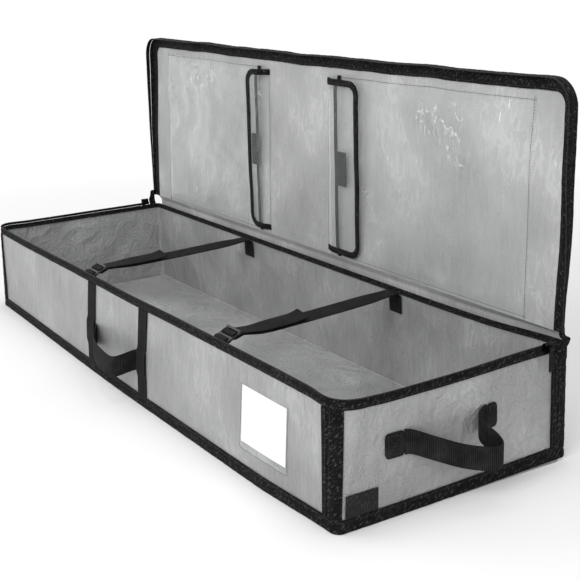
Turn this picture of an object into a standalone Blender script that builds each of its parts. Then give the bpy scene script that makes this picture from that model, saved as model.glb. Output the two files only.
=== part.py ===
"""Long underbed gift wrap bag: a soft film tray with an upright zip lid, straps and webbing handles.

Metres, +Z up, +X along the bag, the lid hinged along the back edge.
The origin is the middle of the underside.
"""
import math

import bmesh
import bpy
from mathutils import Matrix, Vector

# Overall sizes of the tray, and the depth of the lid's skirt
LENGTH = 1.03
WIDTH = 0.30
HEIGHT = 0.14
LID_SKIRT = 0.012

# Thickness of each kind of stock, and the running gap between touching pieces
PANEL_T = 0.0012
TAPE_T = 0.0011
FILM_T = 0.0006
WEB_T = 0.0015
CARD_T = 0.0004
PAD_T = 0.0007
GAP = 0.0003

# Corner rounding of the soft box, wide at the front of the rim and tight at the floor
FRONT_RIM_RADIUS = 0.030
FRONT_FLOOR_RADIUS = 0.009
BACK_RADIUS = 0.006
ARC_STEPS = 4
WALL_LEVELS = 5
WALL_BAYS = 4

# Black binding tape
RIM_LEG = 0.007
FLOOR_BAND = 0.0155
CORNER_WIDE_LEG = 0.021
CORNER_NARROW_LEG = 0.004
BIND_LIP = 0.001
LID_INNER_LEG = 0.015
LID_OUTER_LEG = 0.010
LID_BACK_INSET = 0.0185

# Zipper tapes with the coil along their free edges
ZIP_W = 0.0055
ZIP_T = 0.0008
ZIP_COIL = 0.0018
ZIP_COIL_H = 0.0016
ZIP_HALF_GAP = 0.0010
ZIP_START = 0.0185

# Film hinge along the back rim, which folds a little in front of the back wall
HINGE_IN = 0.008
HINGE_LEG = 0.018
HINGE_LAP = 0.012
HINGE_END_INSET = 0.0105

# Zipper slider, its pull and the fabric stop behind it
SLIDER_L = 0.012
SLIDER_HALF_H = 0.0050
SLIDER_PLATE_T = 0.0010
SLIDER_HALF_CHANNEL = 0.0012
SLIDER_POST_HALF_H = 0.0007
SLIDER_SETBACK = 0.0265
LUG_T = 0.0012
LUG_HALF_H = 0.0016
LUG_REACH = 0.0036
PIVOT_R = 0.0007
PIVOT_OUT = 0.0026
PULL_W = 0.0058
PULL_L = 0.026
PULL_T = 0.0012
PULL_EYE_R = 0.0022
PULL_EYE_END = math.radians(140)
PULL_EYE_START = math.radians(-60)
STOP_L = 0.0140
STOP_H = 0.016
STOP_SETBACK = 0.0030

# Webbing bands on the front, and the handles
BAND_W = 0.026
BAND_LEFT_X = -0.1085
BAND_RIGHT_X = 0.0610
HANDLE_W = 0.0275
HANDLE_Z = 0.059
HANDLE_REACH = 0.034
HANDLE_DROOP = 0.005
END_HANDLE_Z = 0.0805
END_HANDLE_FRONT_SETBACK = 0.0665
END_HANDLE_BACK_SETBACK = 0.110
END_HANDLE_REACH = 0.045
END_HANDLE_DROOP = 0.025
TACK_L = 0.024
BAND_BUMP_RUN = 0.006

# Hold-down straps with their ladder locks
STRAP_LEFT_X = -0.1085
STRAP_RIGHT_X = 0.2790
STRAP_W = 0.025
STRAP_SAG = 0.008
STRAP_TACK_L = 0.024
STRAP_TACK_DROP = 0.024
STRAP_TAIL = 0.045
STRAP_SKEW = 0.075
LOCK_W = 0.034
LOCK_SLOT_W = 0.0272
LOCK_T = 0.0026
LOCK_FRONT_BAR = 0.0030
LOCK_ANCHOR_SLOT = 0.0032
LOCK_BAR = 0.0026
LOCK_SLOT = 0.0036
LOCK_GRIP_BAR = 0.0030
LOCK_REAR_BAR = 0.0026
LOCK_CORNER_R = 0.0024
LOCK_LIP_RISE = 0.0014
LOCK_WAIST = 0.0014
LOCK_EDGE_R = 0.0004
LOCK_TILT = math.radians(20)
LOCK_PIVOT_IN = 0.0070
LOCK_PIVOT_DROP = 0.0060

# Clear pockets on the inside of the lid, with their flaps
POCKET_LEFT_X = -0.109
POCKET_RIGHT_X = 0.048
POCKET_LEFT_END_X = -0.455
POCKET_RIGHT_END_X = 0.452
POCKET_LOW = 0.0125
POCKET_HEAD = 0.024
POCKET_DEPTH = 0.0055
POCKET_HEM = 0.004
POCKET_SLOPE = 0.012
POCKET_SETBACK = 0.025
POCKET_EDGE_W = 0.006
FLAP_LEFT_L = 0.082
FLAP_RIGHT_L = 0.058
FLAP_RISE = 0.018
FLAP_CORNER_R = 0.015
FLAP_MARGIN = 0.004
FLAP_TAPE_W = 0.007
FLAP_TAPE_T = 0.0006
FASTENER_W = 0.018
FASTENER_H = 0.048

# Label window on the front, and the bare woven tag on the right end
CARD_W = 0.100
CARD_SIDE = 0.100
CARD_FOOT = 0.0095
CARD_HEAD = 0.0235
CARD_MARGIN = 0.005
CARD_HEM = 0.002
TAG_W = 0.036
TAG_H = 0.024
TAG_SETBACK = 0.0335
TAG_T = 0.0008

HALF_L = LENGTH / 2
HALF_W = WIDTH / 2
END_HANDLE_NEAR_Y = END_HANDLE_FRONT_SETBACK - HALF_W
END_HANDLE_FAR_Y = HALF_W - END_HANDLE_BACK_SETBACK
TAG_Y = TAG_SETBACK - HALF_W
OUT = GAP + TAPE_T
IN = -PANEL_T - GAP - TAPE_T
RIM_TOP = HEIGHT - ZIP_W - GAP
WALL_TOP = RIM_TOP - TAPE_T - GAP
LID_INNER = HEIGHT + LID_SKIRT - PANEL_T
HINGE_Y = HALF_W - HINGE_IN
POCKET_HIGH = WIDTH - HINGE_IN - POCKET_HEAD

GREY_FILM = ("grey_film", (0.43, 0.43, 0.44, 1.0), 0.42, 0.0)
BLACK_TAPE = ("black_tape", (0.022, 0.022, 0.024, 1.0), 0.78, 0.0)
BLACK_WEBBING = ("black_webbing", (0.028, 0.028, 0.030, 1.0), 0.82, 0.0)
CLEAR_FILM = ("clear_film", (0.88, 0.90, 0.92, 0.25), 0.12, 0.0)
BLACK_PLASTIC = ("black_plastic", (0.020, 0.020, 0.021, 1.0), 0.38, 0.0)
WHITE_CARD = ("white_card", (0.90, 0.90, 0.88, 1.0), 0.60, 0.0)
SLATE_WEAVE = ("slate_weave", (0.055, 0.065, 0.080, 1.0), 0.80, 0.0)
DARK_METAL = ("dark_metal", (0.060, 0.060, 0.065, 1.0), 0.35, 1.0)
HOOK_PAD = ("hook_pad", (0.035, 0.035, 0.038, 1.0), 0.90, 0.0)

# The four upright corners, anticlockwise seen from above, as signs of X and Y
CORNERS = {"front_left": (-1, -1), "front_right": (1, -1), "back_right": (1, 1), "back_left": (-1, 1)}

# Each corner tape's two legs, met in the same order. The wide leg lies on the front wall at the
# front corners and on the end wall at the back corners.
CORNER_LEGS = {"front_left": (CORNER_NARROW_LEG, CORNER_WIDE_LEG),
               "front_right": (CORNER_WIDE_LEG, CORNER_NARROW_LEG),
               "back_right": (CORNER_WIDE_LEG, CORNER_NARROW_LEG),
               "back_left": (CORNER_NARROW_LEG, CORNER_WIDE_LEG)}


def finish(kind):
    """One Principled material for each kind of stock, made once."""
    name, colour, roughness, metallic = kind
    material = bpy.data.materials.get(name)
    if material is None:
        material = bpy.data.materials.new(name)
        material.use_nodes = True
        shader = material.node_tree.nodes["Principled BSDF"]
        shader.inputs["Base Color"].default_value = colour
        shader.inputs["Alpha"].default_value = colour[3]
        shader.inputs["Roughness"].default_value = roughness
        shader.inputs["Metallic"].default_value = metallic
    return material


def add_object(name, bm, kind, pivot=(0.0, 0.0, 0.0), turn=None):
    """Put a bmesh, built in world space, into an object whose origin is its pivot."""
    bmesh.ops.recalc_face_normals(bm, faces=bm.faces)
    mesh = bpy.data.meshes.new(name)
    place = Matrix.Translation(Vector(pivot))
    if turn is not None:
        place = place @ turn.to_4x4()
    bm.transform(place.inverted())
    bm.to_mesh(mesh)
    bm.free()
    mesh.shade_smooth()
    mesh.set_sharp_from_angle(angle=math.radians(35))
    mesh.materials.append(finish(kind))
    obj = bpy.data.objects.new(name, mesh)
    obj.matrix_world = place
    bpy.context.scene.collection.objects.link(obj)
    return obj


def loft(name, rings, kind, closed=False, pivot=(0.0, 0.0, 0.0)):
    """Join rings of points into one closed solid, capped at both ends unless it closes on itself."""
    bm = bmesh.new()
    rows = [[bm.verts.new(point) for point in ring] for ring in rings]
    count = len(rows[0])
    pairs = list(zip(rows, rows[1:]))
    if closed:
        pairs.append((rows[-1], rows[0]))
    for low, high in pairs:
        for i in range(count):
            j = (i + 1) % count
            bm.faces.new((low[i], low[j], high[j], high[i]))
    if not closed:
        bm.faces.new(rows[0])
        bm.faces.new(rows[-1])
    return add_object(name, bm, kind, pivot)


def smooth_path(points, steps):
    """Catmull-Rom curve through the given points."""
    points = [Vector(p) for p in points]
    ends = [2 * points[0] - points[1]] + points + [2 * points[-1] - points[-2]]
    result = []
    for i in range(1, len(ends) - 2):
        a, b, c, d = ends[i - 1:i + 3]
        for k in range(steps):
            t = k / steps
            result.append(0.5 * ((2 * b) + (c - a) * t + (2 * a - 5 * b + 4 * c - d) * t * t
                                 + (3 * b - a - 3 * c + d) * t ** 3))
    result.append(points[-1])
    return result


def strip(name, path, across, width, thickness, kind, pivot=(0.0, 0.0, 0.0)):
    """Flat webbing or tape along a path, its width along `across`."""
    path = [Vector(p) for p in path]
    across = Vector(across).normalized()
    rings = []
    for i, point in enumerate(path):
        before = (point - path[i - 1]).normalized() if i else (path[1] - point).normalized()
        after = (path[i + 1] - point).normalized() if i < len(path) - 1 else before
        run = (before + after).normalized()
        normal = run.cross(across).normalized()
        reach = thickness / 2 / max(0.5, before.dot(run))
        edge = across * (width / 2)
        rings.append([point + edge + normal * reach, point - edge + normal * reach,
                      point - edge - normal * reach, point + edge - normal * reach])
    return loft(name, rings, kind, pivot=pivot)


def corner_radius(corner, z):
    """The front corners open out from a tight floor corner to the round rim."""
    if corner.startswith("back"):
        return BACK_RADIUS
    share = min(1.0, max(0.0, z / HEIGHT))
    return FRONT_FLOOR_RADIUS + (FRONT_RIM_RADIUS - FRONT_FLOOR_RADIUS) * share


def plan_point(corner, share, extra, z, offset):
    """A point on the box's outline, walked anticlockwise from the middle of a corner.

    share runs from -1 to 1 over the corner's arc, extra goes on along the straight
    wall past the arc, and offset is outward.
    """
    sx, sy = CORNERS[corner]
    radius = corner_radius(corner, z)
    centre = Vector((sx * (HALF_L - radius), sy * (HALF_W - radius)))
    angle = math.atan2(sy, sx) + share * math.pi / 4
    outward = Vector((math.cos(angle), math.sin(angle)))
    along = Vector((-outward.y, outward.x)) * math.copysign(1.0, share)
    point = centre + outward * (radius + offset) + along * extra
    return Vector((point.x, point.y, z))


def wall_ring(start, end, z, offset):
    """One level of a wall: half of each corner arc and the straight run between them."""
    points = []
    for corner, sign in ((start, 1), (end, -1)):
        radius = corner_radius(corner, z)
        seam = 2 * GAP / (math.pi * (radius - PANEL_T))
        shares = [seam + (1 - seam) * i / ARC_STEPS for i in range(ARC_STEPS + 1)]
        arc = [plan_point(corner, sign * share, 0.0, z, offset) for share in shares]
        points.append(arc if sign > 0 else arc[::-1])
    first, last = points[0][-1], points[1][0]
    run = [first.lerp(last, i / WALL_BAYS) for i in range(1, WALL_BAYS)]
    return points[0] + run + points[1]


def wall(name, start, end):
    low = PANEL_T + GAP
    rings = []
    for i in range(WALL_LEVELS):
        z = low + (WALL_TOP - low) * i / (WALL_LEVELS - 1)
        rings.append(wall_ring(start, end, z, 0.0) + wall_ring(start, end, z, -PANEL_T)[::-1])
    return loft(name, rings, GREY_FILM)


def rim_samples():
    """All the way round the box, anticlockwise."""
    samples = []
    for corner in CORNERS:
        for i in range(-ARC_STEPS, ARC_STEPS + 1):
            samples.append((corner, i / ARC_STEPS, 0.0))
    return samples


def zip_samples(start):
    """Down the left side, along the front and up the right side, from `start` short of the back wall."""
    run = start - BACK_RADIUS
    inner = [s for s in rim_samples() if s[0].startswith("front")]
    return [("back_left", 1.0, run)] + inner + [("back_right", -1.0, run)]


def sweep_rim(name, samples, profile, kind, closed=False, mapping=None):
    """Carry a profile of (offset, z) points round the outline of the box."""
    rings = []
    for corner, share, extra in samples:
        ring = [plan_point(corner, share, extra, z, offset) for offset, z in profile]
        rings.append([mapping(point) for point in ring] if mapping else ring)
    return loft(name, rings, kind, closed=closed)


def open_lid(point):
    """Turn a point of the closed lid back by a right angle about the hinge line, to the open lid."""
    return Vector((point[0], HINGE_Y + (point[2] - HEIGHT), HEIGHT + HINGE_Y - point[1]))


def lid_point(x, v, w):
    """A point on the open lid: v up from the hinge line, w inward from the panel's inner face."""
    return Vector((x, HINGE_Y + LID_SKIRT - PANEL_T - w, HEIGHT + v))


def make_tray_panels():
    outline = [plan_point(corner, share, 0.0, 0.0, 0.0) for corner, share, _ in rim_samples()]
    top = [point + Vector((0.0, 0.0, PANEL_T)) for point in outline]
    loft("floor_panel", [outline, top], GREY_FILM)
    wall("front_panel", "front_left", "front_right")
    wall("right_panel", "front_right", "back_right")
    wall("back_panel", "back_right", "back_left")
    wall("left_panel", "back_left", "front_left")


def make_tray_bindings():
    band = [(GAP, GAP), (OUT, GAP), (OUT, FLOOR_BAND), (GAP, FLOOR_BAND)]
    sweep_rim("bottom_binding", rim_samples(), band, BLACK_TAPE, closed=True)

    low = RIM_TOP - RIM_LEG
    channel = [(GAP, low), (OUT, low), (OUT, RIM_TOP), (IN, RIM_TOP), (IN, low),
               (-PANEL_T - GAP, low), (-PANEL_T - GAP, RIM_TOP - TAPE_T), (GAP, RIM_TOP - TAPE_T)]
    sweep_rim("rim_binding", rim_samples(), channel, BLACK_TAPE, closed=True)

    bottom = FLOOR_BAND + GAP
    top = low - GAP
    for corner, legs in CORNER_LEGS.items():
        rings = []
        for i in range(WALL_LEVELS):
            z = bottom + (top - bottom) * i / (WALL_LEVELS - 1)
            arc = corner_radius(corner, z) * math.pi / 4
            before, after = [min(1.0, (leg - BIND_LIP) / arc) for leg in legs]
            walk = [(-before, legs[0] - before * arc)]
            walk += [(-before * k / ARC_STEPS, 0.0) for k in range(ARC_STEPS, 0, -1)]
            walk += [(after * k / ARC_STEPS, 0.0) for k in range(ARC_STEPS + 1)]
            walk.append((after, legs[1] - after * arc))
            outer = [plan_point(corner, share, extra, z, OUT) for share, extra in walk]
            inner = [plan_point(corner, share, extra, z, GAP) for share, extra in walk]
            rings.append(outer + inner[::-1])
        loft("corner_binding_" + corner, rings, BLACK_TAPE)


def zip_profile(base, edge):
    """Tape from its sewn base to its free edge, with the coil bead along that edge."""
    lift = math.copysign(ZIP_COIL_H, edge - base)
    middle = GAP + ZIP_T / 2
    bead = ZIP_COIL / 2
    return [(GAP, base), (GAP + ZIP_T, base), (GAP + ZIP_T, edge - lift), (middle + bead, edge - lift / 2),
            (middle + bead / 2, edge), (middle - bead / 2, edge), (middle - bead, edge - lift / 2),
            (GAP, edge - lift)]


def make_zipper_tapes():
    samples = zip_samples(ZIP_START)
    sweep_rim("tray_zipper", samples, zip_profile(RIM_TOP + GAP, HEIGHT - ZIP_HALF_GAP), BLACK_TAPE)
    profile = zip_profile(HEIGHT + ZIP_W, HEIGHT + ZIP_HALF_GAP)
    sweep_rim("lid_zipper", samples, profile, BLACK_TAPE, mapping=open_lid)


def make_lid():
    back = HALF_W - LID_BACK_INSET
    outline = [Vector((HALF_L, back, 0.0)), Vector((-HALF_L, back, 0.0))]
    front = zip_samples(ZIP_START)[1:-1]
    outline += [plan_point(corner, share, extra, HEIGHT, 0.0) for corner, share, extra in front]
    rings = []
    for z in (LID_INNER, LID_INNER + PANEL_T):
        rings.append([open_lid((point.x, point.y, z)) for point in outline])
    loft("lid_panel", rings, GREY_FILM)

    low = HEIGHT + ZIP_W + GAP
    top = LID_INNER + PANEL_T + GAP + TAPE_T
    inner = LID_INNER - GAP
    edge = [(OUT, low), (OUT, top), (-LID_OUTER_LEG, top), (-LID_OUTER_LEG, top - TAPE_T),
            (GAP, top - TAPE_T), (GAP, inner), (-LID_INNER_LEG, inner), (-LID_INNER_LEG, inner - TAPE_T),
            (GAP, inner - TAPE_T), (GAP, low)]
    sweep_rim("lid_binding", zip_samples(ZIP_START), edge, BLACK_TAPE, mapping=open_lid)

    wall_side = HALF_W + OUT + GAP + TAPE_T / 2
    lid_side = HINGE_Y + LID_SKIRT + GAP + TAPE_T / 2
    sill = HEIGHT + LID_BACK_INSET - HINGE_IN
    points = [(wall_side, HEIGHT - HINGE_LEG), (wall_side, HEIGHT - HINGE_LEG / 3), (wall_side, HEIGHT),
              (lid_side, sill - TAPE_T), (lid_side, sill + HINGE_LAP / 2), (lid_side, sill + HINGE_LAP)]
    path = [(0.0, y, z) for y, z in points]
    strip("hinge_tape", path, (1, 0, 0), 2 * (HALF_L - HINGE_END_INSET), TAPE_T, GREY_FILM,
          pivot=(0.0, HINGE_Y, HEIGHT))


def raised_sheet(name, columns, rows, kind, mapping, thickness, pivot=(0.0, 0.0, 0.0)):
    """A thin sheet over a grid. Each column and row is (place, lift), and the lower lift counts."""
    bm = bmesh.new()
    layers = []
    for side in (0.0, thickness):
        grid = [[bm.verts.new(mapping(x, v, min(lift_x, lift_v) + side)) for v, lift_v in rows]
                for x, lift_x in columns]
        layers.append(grid)
    low, high = layers
    across, up = len(columns), len(rows)
    for grid in layers:
        for i in range(across - 1):
            for j in range(up - 1):
                bm.faces.new((grid[i][j], grid[i + 1][j], grid[i + 1][j + 1], grid[i][j + 1]))
    rim = [(i, 0) for i in range(across)] + [(across - 1, j) for j in range(1, up)]
    rim += [(i, up - 1) for i in range(across - 2, -1, -1)] + [(0, j) for j in range(up - 2, 0, -1)]
    for k, (i, j) in enumerate(rim):
        m, n = rim[(k + 1) % len(rim)]
        bm.faces.new((low[i][j], low[m][n], high[m][n], high[i][j]))
    return add_object(name, bm, kind, pivot)


def block(name, corner_a, corner_b, kind, mapping=None, pivot=(0.0, 0.0, 0.0)):
    """A flat pad between two corners, in the space that the mapping gives."""
    (x0, y0, z0), (x1, y1, z1) = corner_a, corner_b
    rings = []
    for z in (z0, z1):
        ring = [(x0, y0, z), (x1, y0, z), (x1, y1, z), (x0, y1, z)]
        rings.append([mapping(*point) for point in ring] if mapping else ring)
    return loft(name, rings, kind, pivot=pivot)


def make_pocket(side, root, end, flap_l):
    """A clear pocket open towards the middle of the lid, and the flap that closes it."""
    out = math.copysign(1.0, end - root)
    mouth = root + out * POCKET_SETBACK
    columns = [(mouth, POCKET_DEPTH), (mouth + (end - mouth) / 3, POCKET_DEPTH),
               (mouth + (end - mouth) * 2 / 3, POCKET_DEPTH),
               (end - out * (POCKET_HEM + POCKET_SLOPE), POCKET_DEPTH),
               (end - out * POCKET_HEM, GAP), (end, GAP)]
    middle = (POCKET_LOW + POCKET_HIGH) / 2
    rows = [(POCKET_LOW, GAP), (POCKET_LOW + POCKET_HEM, GAP),
            (POCKET_LOW + POCKET_HEM + POCKET_SLOPE, POCKET_DEPTH), (middle, POCKET_DEPTH),
            (POCKET_HIGH - POCKET_HEM - POCKET_SLOPE, POCKET_DEPTH),
            (POCKET_HIGH - POCKET_HEM, GAP), (POCKET_HIGH, GAP)]
    raised_sheet("pocket_" + side, columns, rows, CLEAR_FILM, lid_point, FILM_T)

    ride = GAP + FILM_T
    edge_rows = [(v, lift + ride) for v, lift in rows]
    edge_columns = [(mouth, POCKET_DEPTH + ride), (mouth + out * POCKET_EDGE_W, POCKET_DEPTH + ride)]
    raised_sheet("pocket_edge_" + side, edge_columns, edge_rows, BLACK_TAPE, lid_point, TAPE_T)

    film_top = POCKET_DEPTH + FILM_T
    loop_low = film_top + GAP
    hook_low = loop_low + PAD_T + GAP
    flap_low = hook_low + PAD_T + GAP
    pad_start = mouth + out * (POCKET_EDGE_W + GAP * 2)
    pad_end = pad_start + out * FASTENER_W
    block("loop_pad_" + side, (pad_start, middle - FASTENER_H / 2, loop_low),
          (pad_end, middle + FASTENER_H / 2, loop_low + PAD_T), HOOK_PAD, lid_point)

    pivot = lid_point(root, middle, GAP + FILM_T / 2)
    block("hook_pad_" + side, (pad_start, middle - FASTENER_H / 2, hook_low),
          (pad_end, middle + FASTENER_H / 2, hook_low + PAD_T), HOOK_PAD, lid_point, pivot)
    make_flap(side, root, out, flap_l, flap_low, pivot)


def flap_outline(root, out, flap_l, inset, start):
    """The flap's free outline with its two round corners, from the foot of the root to its head."""
    far = flap_l - inset
    radius = FLAP_CORNER_R - inset
    low, high = POCKET_LOW + FLAP_MARGIN + inset, POCKET_HIGH - FLAP_MARGIN - inset
    points = [(start, low)]
    for centre_v, first in ((low + radius, -90), (high - radius, 0)):
        for k in range(ARC_STEPS + 1):
            angle = math.radians(first + 90 * k / ARC_STEPS)
            points.append((far - radius + radius * math.cos(angle), centre_v + radius * math.sin(angle)))
    points.append((start, high))
    return [(root + out * d, v, d) for d, v in points]


def make_flap(side, root, out, flap_l, low, pivot):
    def lift(distance):
        """The flap climbs from its sewn root over the pocket's mouth, then lies level."""
        share = min(1.0, max(0.0, distance / FLAP_RISE))
        return GAP + (low - GAP) * share * share * (3 - 2 * share)

    inset = FLAP_TAPE_T + GAP
    climb = [FLAP_RISE * k / ARC_STEPS for k in range(ARC_STEPS + 1)]
    outline = flap_outline(root, out, flap_l, inset, FLAP_RISE)
    foot, head = outline[0][1], outline[-1][1]
    lows = [(root + out * d, foot, d) for d in climb]
    highs = [(root + out * d, head, d) for d in climb[::-1]]
    bm = bmesh.new()
    layers = []
    for thick in (0.0, FILM_T):
        points = lows[:-1] + outline + highs[1:]
        layers.append([bm.verts.new(lid_point(x, v, lift(d) + thick)) for x, v, d in points])
    last = len(climb) - 1
    count = len(layers[0])
    for layer in layers:
        for k in range(last):
            bm.faces.new((layer[k], layer[k + 1], layer[count - 2 - k], layer[count - 1 - k]))
        bm.faces.new(layer[last:count - last])
    for k in range(count):
        m = (k + 1) % count
        bm.faces.new((layers[0][k], layers[0][m], layers[1][m], layers[1][k]))
    add_object("flap_" + side, bm, CLEAR_FILM, pivot)

    over = FILM_T + GAP
    legs = [(0.0, -inset), (0.0, over + FLAP_TAPE_T), (FLAP_TAPE_W, over + FLAP_TAPE_T), (FLAP_TAPE_W, over),
            (FLAP_TAPE_T, over), (FLAP_TAPE_T, -GAP), (FLAP_TAPE_W, -GAP), (FLAP_TAPE_W, -inset)]
    tracks = []
    for depth, _ in legs:
        track = flap_outline(root, out, flap_l, depth, FLAP_RISE)
        foot, head = track[0][1], track[-1][1]
        lows = [(root + out * d, foot, d) for d in climb[1:-1]]
        highs = [(root + out * d, head, d) for d in climb[-2:0:-1]]
        tracks.append(lows + track + highs)
    rings = []
    for row in zip(*tracks):
        rings.append([lid_point(x, v, lift(d) + rise) for (x, v, d), (_, rise) in zip(row, legs)])
    loft("flap_binding_" + side, rings, BLACK_TAPE, pivot=pivot)


def make_front_band(name, x):
    """Webbing down the front wall that laps over the handle's sewn end."""
    rest = -HALF_W - GAP - WEB_T / 2
    proud = rest - WEB_T - GAP
    low, high = FLOOR_BAND + GAP, RIM_TOP - RIM_LEG - GAP
    tack_low, tack_high = HANDLE_Z - HANDLE_W / 2, HANDLE_Z + HANDLE_W / 2
    path = [(x, rest, low), (x, rest, tack_low - BAND_BUMP_RUN), (x, proud, tack_low - GAP),
            (x, proud, tack_high + GAP), (x, rest, tack_high + BAND_BUMP_RUN), (x, rest, high)]
    strip(name, path, (1, 0, 0), BAND_W, WEB_T, BLACK_WEBBING)


# Handle loops as shares: along the span, outward, and downward, from one sewn end to the other
FRONT_LOOP_SHARES = ((0.0, 0.0, 0.0), (0.02, 0.0, 0.0), (0.045, 0.10, 0.05), (0.10, 0.34, 0.20),
                     (0.24, 0.62, 0.50), (0.45, 0.86, 0.80), (0.70, 0.98, 1.0), (0.86, 1.0, 1.0),
                     (0.925, 0.90, 0.95), (0.945, 0.66, 0.70), (0.952, 0.38, 0.40), (0.962, 0.12, 0.12),
                     (0.98, 0.0, 0.0), (1.0, 0.0, 0.0))
END_LOOP_SHARES = ((0.0, 0.0, 0.0), (0.03, 0.0, 0.0), (0.10, 0.06, 0.02), (0.30, 0.32, 0.22),
                   (0.52, 0.62, 0.55), (0.72, 0.86, 0.85), (0.845, 1.0, 1.0), (0.92, 0.93, 0.95),
                   (0.945, 0.74, 0.78), (0.94, 0.50, 0.52), (0.95, 0.25, 0.25), (0.965, 0.06, 0.06),
                   (0.98, 0.0, 0.0), (1.0, 0.0, 0.0))


def loop_path(start, end, outward, reach, droop, shares):
    """The loop's middle line, which never dips behind its two sewn ends."""
    start, end, outward = Vector(start), Vector(end), Vector(outward)
    points = []
    for along, out, down in smooth_path(shares, 3):
        point = start.lerp(end, along) + outward * (reach * max(0.0, out))
        points.append(point - Vector((0.0, 0.0, droop * max(0.0, down))))
    return points


def make_front_handle():
    face = -HALF_W - GAP - WEB_T / 2
    for side, x, toward in (("left", BAND_LEFT_X, 1), ("right", BAND_RIGHT_X, -1)):
        inner = x + toward * BAND_W / 2
        outer = inner - toward * TACK_L
        block("handle_front_end_" + side, (outer, face - WEB_T / 2, HANDLE_Z - HANDLE_W / 2),
              (inner, face + WEB_T / 2, HANDLE_Z + HANDLE_W / 2), BLACK_WEBBING)
    start = (BAND_LEFT_X + BAND_W / 2 + GAP, face, HANDLE_Z)
    end = (BAND_RIGHT_X - BAND_W / 2 - GAP, face, HANDLE_Z)
    path = loop_path(start, end, (0, -1, 0), HANDLE_REACH, HANDLE_DROOP, FRONT_LOOP_SHARES)
    strip("handle_front", path, (0, 0, 1), HANDLE_W, WEB_T, BLACK_WEBBING,
          pivot=(0.0, -HALF_W - GAP, HANDLE_Z + HANDLE_W / 2))


def make_end_handle(side, out):
    face = out * (HALF_L + GAP + WEB_T / 2)
    for end, y in (("near", END_HANDLE_NEAR_Y), ("far", END_HANDLE_FAR_Y)):
        block("handle_%s_end_%s" % (side, end),
              (face - WEB_T / 2, y - TACK_L / 2, END_HANDLE_Z - HANDLE_W / 2),
              (face + WEB_T / 2, y + TACK_L / 2, END_HANDLE_Z + HANDLE_W / 2), BLACK_WEBBING)
    start = (face, END_HANDLE_NEAR_Y + TACK_L / 2 + GAP, END_HANDLE_Z)
    end = (face, END_HANDLE_FAR_Y - TACK_L / 2 - GAP, END_HANDLE_Z)
    path = loop_path(start, end, (out, 0, 0), END_HANDLE_REACH, END_HANDLE_DROOP, END_LOOP_SHARES)
    strip("handle_" + side, path, (0, 0, 1), HANDLE_W, WEB_T, BLACK_WEBBING,
          pivot=(out * (HALF_L + GAP), 0.0, END_HANDLE_Z + HANDLE_W / 2))


def lock_pivot(x):
    return Vector((x, -HALF_W + LOCK_PIVOT_IN, HEIGHT - LOCK_PIVOT_DROP))


def lock_place(x, b, c):
    """A point on the tilted lock: b back from its front bar, c up from its plane."""
    return lock_pivot(x) + Matrix.Rotation(LOCK_TILT, 3, "X") @ Vector((0.0, b, c))


def lock_slots():
    """Start and end of each slot, measured back from the middle of the front bar."""
    anchor = LOCK_FRONT_BAR / 2
    inner = anchor + LOCK_ANCHOR_SLOT + LOCK_BAR
    outer = inner + LOCK_SLOT + LOCK_GRIP_BAR
    return [(anchor, anchor + LOCK_ANCHOR_SLOT), (inner, inner + LOCK_SLOT), (outer, outer + LOCK_SLOT)]


def rounded_loop(half_x, low, high, radius, steps):
    points = []
    for cx, cy, first in ((half_x - radius, high - radius, 0), (-half_x + radius, high - radius, 90),
                          (-half_x + radius, low + radius, 180), (half_x - radius, low + radius, 270)):
        for k in range(steps + 1):
            angle = math.radians(first + 90 * k / steps)
            points.append((cx + radius * math.cos(angle), cy + radius * math.sin(angle)))
    return points


def make_lock(side, x):
    """Ladder lock: a moulded frame with one slot for its anchor and two for the strap."""
    slots = lock_slots()
    rear = slots[-1][1] + LOCK_REAR_BAR
    outer = rounded_loop(LOCK_W / 2, -LOCK_FRONT_BAR / 2, rear, LOCK_CORNER_R, 3)
    half = len(outer) // 2
    waist = LOCK_W / 2 - LOCK_WAIST
    notch = [slots[1][1], slots[1][0] + LOCK_WAIST, slots[1][0], slots[0][1]]
    left_side = [(-LOCK_W / 2, notch[0]), (-waist, notch[1]), (-waist, notch[2]), (-LOCK_W / 2, notch[3])]
    right_side = [(-px, py) for px, py in left_side[::-1]]
    loops = [outer[:half] + left_side + outer[half:] + right_side]
    for low, high in slots:
        loops.append(rounded_loop(LOCK_SLOT_W / 2, low, high, LOCK_EDGE_R * 2, 2))
    bm = bmesh.new()
    edges = []
    for points in loops:
        verts = [bm.verts.new((px, py, -LOCK_T / 2)) for px, py in points]
        edges += [bm.edges.new((verts[i], verts[(i + 1) % len(verts)])) for i in range(len(verts))]
    filled = bmesh.ops.triangle_fill(bm, use_beauty=True, use_dissolve=False, edges=edges)
    faces = [item for item in filled["geom"] if isinstance(item, bmesh.types.BMFace)]
    top = bmesh.ops.extrude_face_region(bm, geom=faces)
    raised = [item for item in top["geom"] if isinstance(item, bmesh.types.BMVert)]
    bmesh.ops.translate(bm, verts=raised, vec=(0.0, 0.0, LOCK_T))
    for vert in bm.verts:
        if vert.co.y > slots[-1][1] + LOCK_EDGE_R:
            vert.co.z += LOCK_LIP_RISE * (vert.co.y - slots[-1][1]) / LOCK_REAR_BAR
    pivot = lock_pivot(x)
    turn = Matrix.Rotation(LOCK_TILT, 3, "X")
    bm.transform(Matrix.Translation(pivot) @ turn.to_4x4())
    obj = add_object("ladder_lock_" + side, bm, BLACK_PLASTIC, pivot, turn)
    bevel = obj.modifiers.new("soft_edges", "BEVEL")
    bevel.width = LOCK_EDGE_R
    bevel.segments = 1
    bevel.limit_method = "ANGLE"
    bevel.angle_limit = math.radians(60)


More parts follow.
